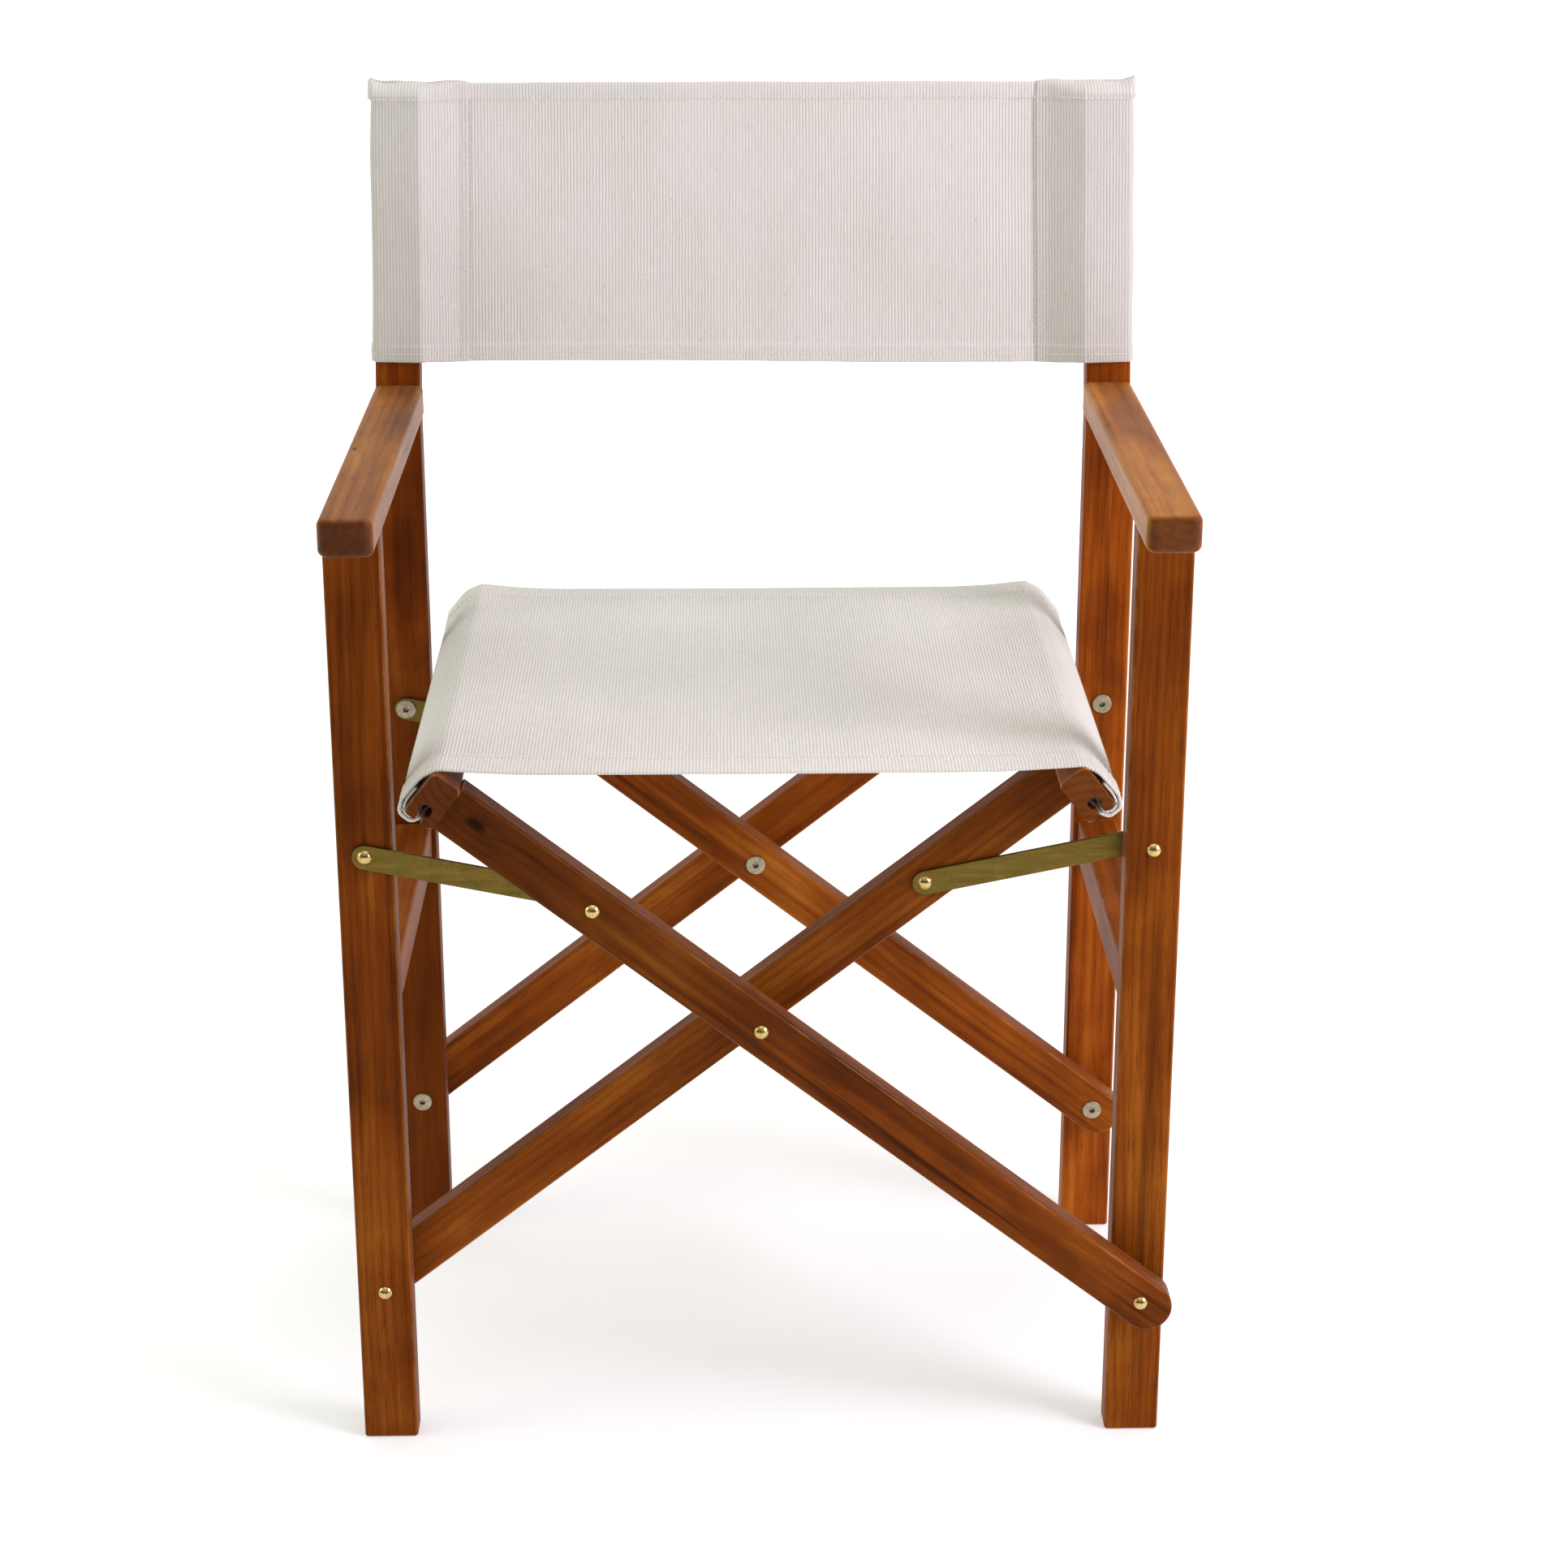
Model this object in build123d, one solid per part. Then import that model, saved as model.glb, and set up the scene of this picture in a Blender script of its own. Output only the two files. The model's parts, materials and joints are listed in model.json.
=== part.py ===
from build123d import *
import os
from math import atan2, cos, degrees, hypot, radians, sin

# Folding director's chair, in millimetres. The frame has +Z up, the seat faces -Y, and the
# origin is on the floor at the middle of the chair's overall box.

# Side frames
LEG_WIDTH = 36.0          # along X
LEG_DEPTH = 22.0          # along Y
LEG_OUTER = 270.5         # leg's outer face from the middle of the chair
LEG_PITCH = 300.0         # front legs' front face to rear legs' front face
LEG_ROUND = 2.0
LEG_CHAMFER = 1.5
UPRIGHT_WIDTH = 31.0      # rear leg above the armrest, flush with the leg's inner face
UPRIGHT_TOP = 862.0
UPRIGHT_LEAN = 6.4        # how far the back's pull draws the upright's top inwards
ARM_WIDTH = 34.0
ARM_THICK = 23.5
ARM_TOP = 662.0
ARM_OUTER = 265.8
ARM_OVERHANG = 62.5       # armrest ahead of the front leg
ARM_CORNER = 7.0
ARM_ROUND = 4.5
SIDE_RAIL_WIDTH = 28.0
SIDE_RAIL_HEIGHT = 31.0
SIDE_RAIL_RECESS = 3.5    # behind the legs' inner faces
SIDE_RAIL_TOP = 334.0

# Scissor bars, measured in the plane of the fold
PIVOT_HEIGHT = 110.0      # bottom pivot above the floor
CROSS_HEIGHT = 309.5      # where the two bars of a pair cross
BAR_WIDTH = 33.0
BAR_THICK = 21.0
BAR_GAP = 3.0             # between a bar and the legs beside it
BAR_TAIL = 6.0            # centre of the round lower end, past the pivot
BAR_ROUND = 2.5

# Seat rails, square to the bars that carry them
RAIL_REACH = 583.5        # bottom pivot to the rail's centre, along the bar
RAIL_WIDTH = 32.0         # across the bar
RAIL_THICK = 21.0         # along the bar
RAIL_LENGTH = 420.0
RAIL_FRONT = {"left": -31.0, "right": -26.0}   # front end from the front legs' front face
RAIL_ROUND = 2.5
ROD_OFFSET = 7.7          # keyhole's bore from the rail's centre, towards its lower side
KEYHOLE_RADIUS = 4.6
KEYHOLE_SLOT = 4.6
ROD_RADIUS = 2.4
ROD_INSET = 12.0           # rod's end from the cloth's edge

# Links between the legs and the bars
LINK_HEIGHT = 424.0       # pivot on the leg above the floor
LINK_REACH = 458.5        # bottom pivot to the link's end, along the bar
LINK_WIDTH = 16.5
LINK_THICK = 2.2
LINK_GAP = 0.2            # between a link and its leg
LINK_ROUND = 0.4

# Fasteners
BOLT_RADIUS = 3.0
NUT_RADIUS = 4.0          # barrel of the sleeve nut
NUT_BARREL = 12.0
NUT_BORE = 8.0
NUT_FLANGE_RADIUS = 7.1
NUT_FLANGE = 1.4
NUT_ROUND = 0.8
NUT_END_GAP = 0.3         # between the barrel's end and the bottom of its hole
THREAD_START = 0.5        # bolt's end past the mouth of the nut's bore
HEX_SOCKET = 4.2          # across flats
HEX_DEPTH = 3.0
HEAD_RADIUS = 4.8
HEAD_HEIGHT = 2.6
FIT = 0.05                # radial running clearance
SPACER_RADIUS = 8.0
CROSS_SPACER_RADIUS = 7.0
SPACER_SLACK = 0.1
DOWEL_RADIUS = 4.0
DOWEL_LENGTH = 40.0
DOWEL_CHAMFER = 0.8
DOWEL_SLACK = 1.0         # by which a dowel's hole is longer than the dowel
ARM_DOWEL_LENGTH = 30.0   # from the front leg up into the armrest
ARM_DOWEL_DROP = 4.0      # its middle below the armrest
SIDE_DOWEL_SPREAD = 8.0   # side rail's two dowels, each way from the rail's middle
RAIL_DOWEL_RADIUS = 3.0
RAIL_DOWEL_LENGTH = 24.0
RAIL_DOWEL_SPREAD = 5.0   # bar's two dowels, each way from the bar's middle
RAIL_DOWEL_SHIFT = 4.0    # their middles into the bar, and across it from the keyhole

# Canvas
CLOTH = 2.0
CLOTH_GAP = 0.3
WRAP = 3.6                # two layers, over the rail's outer face and under it
WRAP_BEND = 1.5           # corner cut off the wrap's path at the rail's lower edge
WRAP_LOOP = 1.8           # cloth round the rod
WRAP_DROP = 1.5           # wrap's start below the rail's top corner
SEAT_FRONT = -24.0        # cloth's front edge from the front legs' front face
SEAT_REAR = 388.0
SEAT_HEM_END = 196.0      # where the hem over the rail becomes the seat panel
SLING_TOP = 870.0
SLING_BOTTOM = 679.0

# Derived places
FRONT_FACE = -(RAIL_FRONT["right"] + RAIL_LENGTH - ARM_OVERHANG) / 2
LEG_X = LEG_OUTER - LEG_WIDTH / 2
LEG_INNER = LEG_OUTER - LEG_WIDTH
SIDE_RAIL_X = LEG_INNER + SIDE_RAIL_RECESS + SIDE_RAIL_WIDTH / 2
SIDE_RAIL_Z = SIDE_RAIL_TOP - SIDE_RAIL_HEIGHT / 2
ARM_BOTTOM = ARM_TOP - ARM_THICK
UPRIGHT_SLOPE = UPRIGHT_LEAN / (UPRIGHT_TOP - ARM_BOTTOM)
BAR_ANGLE = atan2(CROSS_HEIGHT - PIVOT_HEIGHT, LEG_X)
ALONG = Vector(cos(BAR_ANGLE), 0, sin(BAR_ANGLE))
SIDES = ("left", "right")
SETS = ("front", "rear")
SET_Y = {"front": FRONT_FACE, "rear": FRONT_FACE + LEG_PITCH}
HAND = {"left": -1, "right": 1}

os.makedirs("parts", exist_ok=True)


def save(name, *solids):
    """Write one sub-part; loose pieces of one kind go into it as separate solids."""
    shape = solids[0] if len(solids) == 1 else Compound(children=list(solids))
    export_step(shape, "parts/" + name + ".step")


def box(x, y, z):
    """Box between the given (low, high) pairs."""
    size = [pair[1] - pair[0] for pair in (x, y, z)]
    middle = [(pair[1] + pair[0]) / 2 for pair in (x, y, z)]
    return Pos(*middle) * Box(*size)


def rod(x, z, y0, y1, radius):
    """Round bar along Y from y0 to y1."""
    return Pos(x, (y0 + y1) / 2, z) * Rot(90, 0, 0) * Cylinder(radius, abs(y1 - y0))


def raised(outline, z0, z1, slope=0.0):
    """Prism on a flat outline from z0 to z1, which leans towards -X by slope."""
    rise = z1 - z0
    lean = Vector(-slope * rise, 0, rise)
    return Pos(0, 0, z0) * extrude(outline, lean.length, dir=lean.normalized())


def post(width, z0, z1, x, y, slope=0.0):
    """Post with rounded corners, centred on x, y at its foot."""
    return raised(Pos(x, y) * RectangleRounded(width, LEG_DEPTH, LEG_ROUND), z0, z1, slope)


def lean_at(z):
    """How far inwards an upright has leaned at this height."""
    return UPRIGHT_SLOPE * (z - ARM_BOTTOM)


def flipped(shape, side):
    """Pieces are drawn on the right; the left one is the mirror image."""
    return shape if side == "right" else mirror(shape, about=Plane.YZ)


def dowel(place, radius=DOWEL_RADIUS, length=DOWEL_LENGTH):
    """Wooden dowel along the place's Z, and the slightly larger cutter for its hole."""
    pin = chamfer(Cylinder(radius, length).edges(), DOWEL_CHAMFER)
    return place * pin, place * Cylinder(radius + FIT, length + DOWEL_SLACK)


# ---- Fasteners, all along Y ----

def bolt(x, z, y_head, y_end):
    """Dome-headed bolt: the head sits outside y_head, the shank ends at y_end."""
    out = 1 if y_head > y_end else -1
    cap_radius = (HEAD_RADIUS ** 2 + HEAD_HEIGHT ** 2) / (2 * HEAD_HEIGHT)
    ball = Pos(x, y_head - out * (cap_radius - HEAD_HEIGHT), z) * Sphere(cap_radius)
    wide = 4 * HEAD_RADIUS
    outside = Pos(x, y_head + out * cap_radius, z) * Box(wide, 2 * cap_radius, wide)
    return (ball & outside) + rod(x, z, y_head, y_end, BOLT_RADIUS)


def sleeve_nut(x, z, y_face, inward, barrel=NUT_BARREL, bore=NUT_BORE):
    """Flanged nut with a hex socket: the flange is outside y_face, the barrel inside."""
    edge = y_face - inward * NUT_FLANGE
    flange = rod(x, z, y_face, edge, NUT_FLANGE_RADIUS)
    rim = flange.edges().filter_by(GeomType.CIRCLE)
    rim = [one for one in rim if abs(one.center().Y - edge) < 0.01]
    body = fillet(rim, NUT_ROUND) + rod(x, z, y_face, y_face + inward * barrel, NUT_RADIUS)
    hexagon = RegularPolygon(HEX_SOCKET / 2, 6, major_radius=False)
    socket = extrude(Plane.XZ * hexagon, HEX_DEPTH / 2, both=True)
    body -= Pos(x, edge + inward * HEX_DEPTH / 2, z) * socket
    if bore:
        end = y_face + inward * barrel
        body -= rod(x, z, end, end - inward * bore, BOLT_RADIUS + FIT)
    return body


def bolt_pair(x, z, y_head, y_nut):
    """Bolt and sleeve nut that clamp everything between y_head and y_nut."""
    inward = 1 if y_head > y_nut else -1
    y_end = y_nut + inward * (NUT_BARREL - NUT_BORE + THREAD_START)
    return bolt(x, z, y_head, y_end), sleeve_nut(x, z, y_nut, inward)


def nut_hole(x, z, y_face, inward, depth=NUT_BARREL):
    """Counterbore for a sleeve nut's barrel."""
    return rod(x, z, y_face, y_face + inward * (depth + NUT_END_GAP), NUT_RADIUS + FIT)


def ring(x, z, y0, y1, outer):
    """Spacer round a bolt."""
    return rod(x, z, y0, y1, outer) - rod(x, z, y0, y1, BOLT_RADIUS + FIT)


def bar_faces(side, which):
    """Front and back faces of the bar that carries this side's seat rail.

    The left rail's bars run ahead of the legs, and the right rail's bars behind them.
    """
    y = SET_Y[which]
    if side == "left":
        return y - BAR_GAP - BAR_THICK, y - BAR_GAP
    return y + LEG_DEPTH + BAR_GAP, y + LEG_DEPTH + BAR_GAP + BAR_THICK


def link_faces(side, which):
    """Front and back faces of a link: left ones lie ahead of the legs, right ones behind."""
    y = SET_Y[which]
    if side == "left":
        return y - LINK_GAP - LINK_THICK, y - LINK_GAP
    return y + LEG_DEPTH + LINK_GAP, y + LEG_DEPTH + LINK_GAP + LINK_THICK


def leg_faces(which):
    return SET_Y[which], SET_Y[which] + LEG_DEPTH


def clamp_ends(front, back, which):
    """(head face, nut face): heads look forward on the front set and back on the rear set."""
    return (front, back) if which == "front" else (back, front)


# ---- Places in the plane of the fold ----

def on_bar(side, reach, across=0.0):
    """Point on the bar that carries this side's rail, reach from its bottom pivot.

    across is measured square to the bar, towards the rail's lower side.
    """
    hand = HAND[side]
    x = -LEG_X + reach * ALONG.X + across * ALONG.Z
    z = PIVOT_HEIGHT + reach * ALONG.Z - across * ALONG.X
    return hand * x, z


def pivot_stack(side, which):
    """Faces spanned by a side frame's bottom pivot bolt: its leg and the bar beside it."""
    other = "left" if side == "right" else "right"
    faces = leg_faces(which) + bar_faces(other, which)
    return min(faces), max(faces)


def leg_link_stack(side, which):
    """Faces spanned by a link's bolt at its leg."""
    faces = leg_faces(which) + link_faces(side, which)
    return min(faces), max(faces)


def drill(shape, x, z, span, which):
    """Clearance hole for a bolt through span, with the nut's counterbore."""
    front, back = span
    y_head, y_nut = clamp_ends(front, back, which)
    inward = 1 if y_head > y_nut else -1
    shape -= rod(x, z, front - 1, back + 1, BOLT_RADIUS + FIT)
    return shape - nut_hole(x, z, y_nut, inward)


# ---- Side frames ----

def frame_dowels():
    """The right side frame's dowels and their cutters."""
    arm_x = ARM_OUTER - ARM_WIDTH / 2
    along_y = Rot(90, 0, 0)
    under_arm = Pos(arm_x, SET_Y["front"] + LEG_DEPTH / 2, ARM_BOTTOM - ARM_DOWEL_DROP)
    made = [dowel(under_arm, length=ARM_DOWEL_LENGTH)]
    made.append(dowel(Pos(arm_x, SET_Y["rear"], ARM_TOP - ARM_THICK / 2) * along_y))
    for y in (SET_Y["front"] + LEG_DEPTH, SET_Y["rear"]):
        for offset in (-SIDE_DOWEL_SPREAD, SIDE_DOWEL_SPREAD):
            made.append(dowel(Pos(SIDE_RAIL_X, y, SIDE_RAIL_Z + offset) * along_y))
    return zip(*made)


def right_legs():
    legs = {}
    for which in SETS:
        leg = post(LEG_WIDTH, 0, ARM_BOTTOM, LEG_X, SET_Y[which] + LEG_DEPTH / 2)
        legs[which] = chamfer(leg.faces().sort_by(Axis.Z)[0].edges(), LEG_CHAMFER)
    middle = SET_Y["rear"] + LEG_DEPTH / 2
    upright_x = LEG_INNER + UPRIGHT_WIDTH / 2
    upright = post(UPRIGHT_WIDTH, ARM_BOTTOM, UPRIGHT_TOP, upright_x, middle, UPRIGHT_SLOPE)
    legs["rear"] += chamfer(upright.faces().sort_by(Axis.Z)[-1].edges(), LEG_CHAMFER)
    return legs


def right_armrest():
    """Armrest with rounded front corners and rims; its rear end butts against the upright."""
    rear_end = SET_Y["rear"]
    along = (FRONT_FACE - ARM_OVERHANG, rear_end)
    arm = box((ARM_OUTER - ARM_WIDTH, ARM_OUTER), along, (ARM_BOTTOM, ARM_TOP))
    corners = [e for e in arm.edges().filter_by(Axis.Z) if e.center().Y < FRONT_FACE]
    arm = fillet(corners, ARM_CORNER)
    middle = ARM_TOP - ARM_THICK / 2
    rims = [e for e in arm.edges() if abs(e.center().Z - middle) > ARM_THICK / 4]
    rims = [e for e in rims if e.center().Y < rear_end - ARM_ROUND]
    return fillet(rims, ARM_ROUND)


def right_side_rail():
    half = SIDE_RAIL_WIDTH / 2
    rail = box((SIDE_RAIL_X - half, SIDE_RAIL_X + half), (SET_Y["front"] + LEG_DEPTH, SET_Y["rear"]),
               (SIDE_RAIL_TOP - SIDE_RAIL_HEIGHT, SIDE_RAIL_TOP))
    return fillet(rail.edges().filter_by(Axis.Y), RAIL_ROUND)


def side_frame(side):
    legs = right_legs()
    wood = {"front_leg": legs["front"], "rear_leg": legs["rear"],
            "armrest": right_armrest(), "side_rail": right_side_rail()}
    dowels, cutters = frame_dowels()
    for name in wood:
        for cutter in cutters:
            wood[name] -= cutter
        wood[name] = flipped(wood[name], side)

    x = HAND[side] * LEG_X
    bolts, nuts, spacers, link_bolts, link_nuts = [], [], [], [], []
    for which in SETS:
        low = pivot_stack(side, which)
        high = leg_link_stack(side, which)
        name = which + "_leg"
        wood[name] = drill(wood[name], x, PIVOT_HEIGHT, low, which)
        wood[name] = drill(wood[name], x, LINK_HEIGHT, high, which)
        one, other = bolt_pair(x, PIVOT_HEIGHT, *clamp_ends(*low, which))
        bolts.append(one)
        nuts.append(other)
        one, other = bolt_pair(x, LINK_HEIGHT, *clamp_ends(*high, which))
        link_bolts.append(one)
        link_nuts.append(other)
        gap = SET_Y[which] - BAR_GAP if side == "right" else SET_Y[which] + LEG_DEPTH
        ends = (gap + SPACER_SLACK, gap + BAR_GAP - SPACER_SLACK)
        spacers.append(ring(x, PIVOT_HEIGHT, *ends, SPACER_RADIUS))

    for name in wood:
        save(side + "_" + name, wood[name])
    save(side + "_frame_dowels", *[flipped(pin, side) for pin in dowels])
    save(side + "_pivot_bolts", *bolts)
    save(side + "_pivot_nuts", *nuts)
    save(side + "_pivot_spacers", *spacers)
    save(side + "_link_bolts", *link_bolts)
    save(side + "_link_nuts", *link_nuts)


# ---- Seat frames: two bars and the rail they carry ----

def bar(side, which):
    """Bar with a round lower end; its square upper end meets the rail's inner face."""
    front, back = bar_faces(side, which)
    length = RAIL_REACH - RAIL_THICK / 2
    outline = Pos((length - BAR_TAIL) / 2, 0) * Rectangle(length + BAR_TAIL, BAR_WIDTH)
    outline += Pos(-BAR_TAIL, 0) * Circle(BAR_WIDTH / 2)
    solid = extrude(Plane.XZ * outline, BAR_THICK)
    rims = [e for e in solid.edges() if e.center().X < length - 1]
    rims = [e for e in rims if abs(e.center().Y + BAR_THICK / 2) > 1]
    solid = fillet(rims, BAR_ROUND)
    solid = Pos(-LEG_X, back, PIVOT_HEIGHT) * Rot(0, -degrees(BAR_ANGLE), 0) * solid
    solid = flipped(solid, side)

    opposite = -HAND[side] * LEG_X
    other = "left" if side == "right" else "right"
    solid = drill(solid, opposite, PIVOT_HEIGHT, pivot_stack(other, which), which)
    solid = drill(solid, 0, CROSS_HEIGHT, cross_stack(which), which)
    x, z = on_bar(side, LINK_REACH)
    solid -= rod(x, z, front - 1, back + 1, BOLT_RADIUS + FIT)
    if nut_on_bar(side, which):
        outer = front if side == "left" else back
        solid -= nut_hole(x, z, outer, 1 if side == "left" else -1)
    return solid


def cross_stack(which):
    """Faces spanned by the bolt where the two bars of a pair cross."""
    return bar_faces("left", which)[0], bar_faces("right", which)[1]


def nut_on_bar(side, which):
    """At a link's bar end the nut is on the bar when its clamping side looks that way."""
    return (side == "left") == (which == "rear")


def seat_rail(side):
    """Rail with a keyhole along its lower side that holds the seat's rod."""
    y0 = FRONT_FACE + RAIL_FRONT[side]
    y1 = y0 + RAIL_LENGTH
    outline = RectangleRounded(RAIL_THICK, RAIL_WIDTH, RAIL_ROUND)
    outline -= Pos(0, -ROD_OFFSET) * Circle(KEYHOLE_RADIUS)
    outline -= Pos(0, -RAIL_WIDTH / 2) * Rectangle(KEYHOLE_SLOT, 2 * (RAIL_WIDTH / 2 - ROD_OFFSET))
    solid = extrude(Plane.XZ * outline, RAIL_LENGTH)
    x, z = on_bar("right", RAIL_REACH)
    solid = Pos(x, y1, z) * Rot(0, -degrees(BAR_ANGLE), 0) * solid
    return flipped(solid, side)


def rail_dowels(side):
    """Dowels that hold the bars' upper ends to the rail, two to a bar, and their cutters."""
    made = []
    for which in SETS:
        middle = sum(bar_faces(side, which)) / 2
        for offset in (-RAIL_DOWEL_SPREAD, RAIL_DOWEL_SPREAD):
            reach = RAIL_REACH - RAIL_THICK / 2 - RAIL_DOWEL_SHIFT
            x, z = on_bar("right", reach, -RAIL_DOWEL_SHIFT)
            place = Pos(x, middle + offset, z) * Rot(0, 90 - degrees(BAR_ANGLE), 0)
            made.append(dowel(place, RAIL_DOWEL_RADIUS, RAIL_DOWEL_LENGTH))
    pins, cutters = zip(*made)
    return [flipped(pin, side) for pin in pins], [flipped(cutter, side) for cutter in cutters]


def band(path, width):
    """Strip of this width along a path, with a round joint at each inner point."""
    strip = Sketch()
    for (x0, z0), (x1, z1) in zip(path, path[1:]):
        turn = Rot(0, 0, degrees(atan2(z1 - z0, x1 - x0)))
        strip += Pos((x0 + x1) / 2, (z0 + z1) / 2) * turn * Rectangle(hypot(x1 - x0, z1 - z0), width)
    for x, z in path[1:-1]:
        strip += Pos(x, z) * Circle(width / 2)
    return strip


def seat_hem(side):
    """Cloth over the rail: down its outer face, under it, and round the rod in the keyhole."""
    outer = RAIL_REACH + RAIL_THICK / 2 + CLOTH_GAP + WRAP / 2
    lower = RAIL_WIDTH / 2 + CLOTH_GAP + WRAP / 2
    top = on_bar("right", outer, WRAP_DROP - RAIL_WIDTH / 2)
    flat = band([(SEAT_HEM_END, seat_level()), (top[0], seat_level())], CLOTH)
    corner = Pos(*top) * Circle(WRAP / 2)
    wrap = band([
        top,
        on_bar("right", outer, lower - WRAP_BEND),
        on_bar("right", outer - WRAP_BEND, lower),
        on_bar("right", RAIL_REACH, lower),
        on_bar("right", RAIL_REACH, ROD_OFFSET + ROD_RADIUS + WRAP_LOOP),
    ], WRAP)
    rod_place = Pos(*on_bar("right", RAIL_REACH, ROD_OFFSET))
    outline = flat + corner + wrap + rod_place * Circle(ROD_RADIUS + FIT + WRAP_LOOP)
    outline -= rod_place * Circle(ROD_RADIUS + FIT)
    solid = extrude(Plane.XZ * outline, SEAT_REAR - SEAT_FRONT)
    return flipped(Pos(0, FRONT_FACE + SEAT_REAR, 0) * solid, side)


def seat_level():
    """Mid-thickness of the seat cloth, just clear of the rails' rounded top corners."""
    x, z = on_bar("right", RAIL_REACH + RAIL_THICK / 2, -RAIL_WIDTH / 2)
    return z - RAIL_ROUND * (ALONG.X + ALONG.Z - 1) + CLOTH_GAP + CLOTH / 2


def sling_rod(side):
    x, z = on_bar(side, RAIL_REACH, ROD_OFFSET)
    front = FRONT_FACE + SEAT_FRONT + ROD_INSET
    return rod(x, z, front, FRONT_FACE + SEAT_REAR - ROD_INSET, ROD_RADIUS)


def seat_frame(side):
    pins, cutters = rail_dowels(side)
    rail = seat_rail(side)
    for cutter in cutters:
        rail -= cutter
    save(side + "_seat_rail", rail)
    fasteners = []
    for which in SETS:
        solid = bar(side, which)
        for cutter in cutters:
            solid -= cutter
        save(side + "_rail_" + which + "_bar", solid)
        fasteners.append(bar_half_fastener(side, which))
    save(side + "_rail_dowels", *pins)
    save(side + "_bar_fasteners", *fasteners)
    save(side + "_sling_rod", sling_rod(side))
    save(side + "_seat_hem", seat_hem(side))


# ---- Links ----

def bar_half_fastener(side, which):
    """The half of a link's bar-end fastener that stays in the bar, flush with its inner face."""
    front, back = bar_faces(side, which)
    outer, inner = (front, back) if side == "left" else (back, front)
    x, z = on_bar(side, LINK_REACH)
    if not nut_on_bar(side, which):
        return bolt(x, z, outer, inner)
    inward = 1 if inner > outer else -1
    nut = sleeve_nut(x, z, outer, inward, bore=0)
    return nut + rod(x, z, outer + inward * NUT_BARREL, inner, BOLT_RADIUS)


def link_half_fastener(side, which):
    """The half that stays on the link: head or nut outside it, and a stub in its hole."""
    front, back = link_faces(side, which)
    outer, inner = (back, front) if side == "left" else (front, back)
    x, z = on_bar(side, LINK_REACH)
    if nut_on_bar(side, which):
        return bolt(x, z, outer, inner)
    return sleeve_nut(x, z, outer, 1 if inner > outer else -1, barrel=LINK_THICK, bore=0)


def link(side, which):
    front, back = link_faces(side, which)
    x0, z0 = HAND[side] * LEG_X, LINK_HEIGHT
    x1, z1 = on_bar(side, LINK_REACH)
    run = hypot(x1 - x0, z1 - z0)
    outline = SlotCenterToCenter(run, LINK_WIDTH)
    solid = extrude(Plane.XZ * outline, LINK_THICK)
    solid = fillet([e for e in solid.edges() if e.length > 2 * LINK_THICK], LINK_ROUND)
    turn = Rot(0, -degrees(atan2(z1 - z0, x1 - x0)), 0)
    solid = Pos((x0 + x1) / 2, back, (z0 + z1) / 2) * turn * solid
    # The hole fits whatever passes through: a bolt, or a nut's barrel when the nut is on it.
    leg_nut_here = clamp_ends(*leg_link_stack(side, which), which)[1] in (front, back)
    leg_radius = NUT_RADIUS if leg_nut_here else BOLT_RADIUS
    bar_radius = BOLT_RADIUS if nut_on_bar(side, which) else NUT_RADIUS
    solid -= rod(x0, z0, front - 1, back + 1, leg_radius + FIT)
    return solid - rod(x1, z1, front - 1, back + 1, bar_radius + FIT)


def links():
    for side in SIDES:
        for which in SETS:
            name = side + "_" + which + "_link"
            save(name, link(side, which))
            save(name + "_stud", link_half_fastener(side, which))


def cross_fasteners():
    bolts, nuts, spacers = [], [], []
    for which in SETS:
        one, other = bolt_pair(0, CROSS_HEIGHT, *clamp_ends(*cross_stack(which), which))
        bolts.append(one)
        nuts.append(other)
        y0 = bar_faces("left", which)[1] + SPACER_SLACK
        y1 = bar_faces("right", which)[0] - SPACER_SLACK
        spacers.append(ring(0, CROSS_HEIGHT, y0, y1, CROSS_SPACER_RADIUS))
    save("cross_bolts", *bolts)
    save("cross_nuts", *nuts)
    save("cross_spacers", *spacers)


# ---- Canvas ----

def seat_panel():
    edge = SEAT_HEM_END - CLOTH_GAP
    level = seat_level()
    depth = (FRONT_FACE + SEAT_FRONT, FRONT_FACE + SEAT_REAR)
    save("seat_panel", box((-edge, edge), depth, (level - CLOTH / 2, level + CLOTH / 2)))


def back_sling():
    """A sleeve round each upright, and the panel between them in line with their middles."""
    inner = LEG_INNER - CLOTH_GAP
    width = UPRIGHT_WIDTH + 2 * CLOTH_GAP
    depth = LEG_DEPTH + 2 * CLOTH_GAP
    middle = SET_Y["rear"] + LEG_DEPTH / 2
    outline = RectangleRounded(width + 2 * CLOTH, depth + 2 * CLOTH, LEG_ROUND + CLOTH)
    outline -= RectangleRounded(width, depth, LEG_ROUND)
    foot = Pos(inner + width / 2 - lean_at(SLING_BOTTOM), middle)
    sleeve = raised(foot * outline, SLING_BOTTOM, SLING_TOP, UPRIGHT_SLOPE)
    for side in SIDES:
        save(side + "_back_sleeve", flipped(sleeve, side))
    edge = inner - CLOTH - CLOTH_GAP
    low, high = edge - lean_at(SLING_BOTTOM), edge - lean_at(SLING_TOP)
    corners = [(-low, SLING_BOTTOM), (low, SLING_BOTTOM), (high, SLING_TOP), (-high, SLING_TOP)]
    panel = extrude(Plane.XZ * make_face(Polyline(corners, close=True)), CLOTH)
    save("back_panel", Pos(0, middle + CLOTH / 2, 0) * panel)


for side in SIDES:
    side_frame(side)
    seat_frame(side)
links()
cross_fasteners()
seat_panel()
back_sling()
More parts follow.
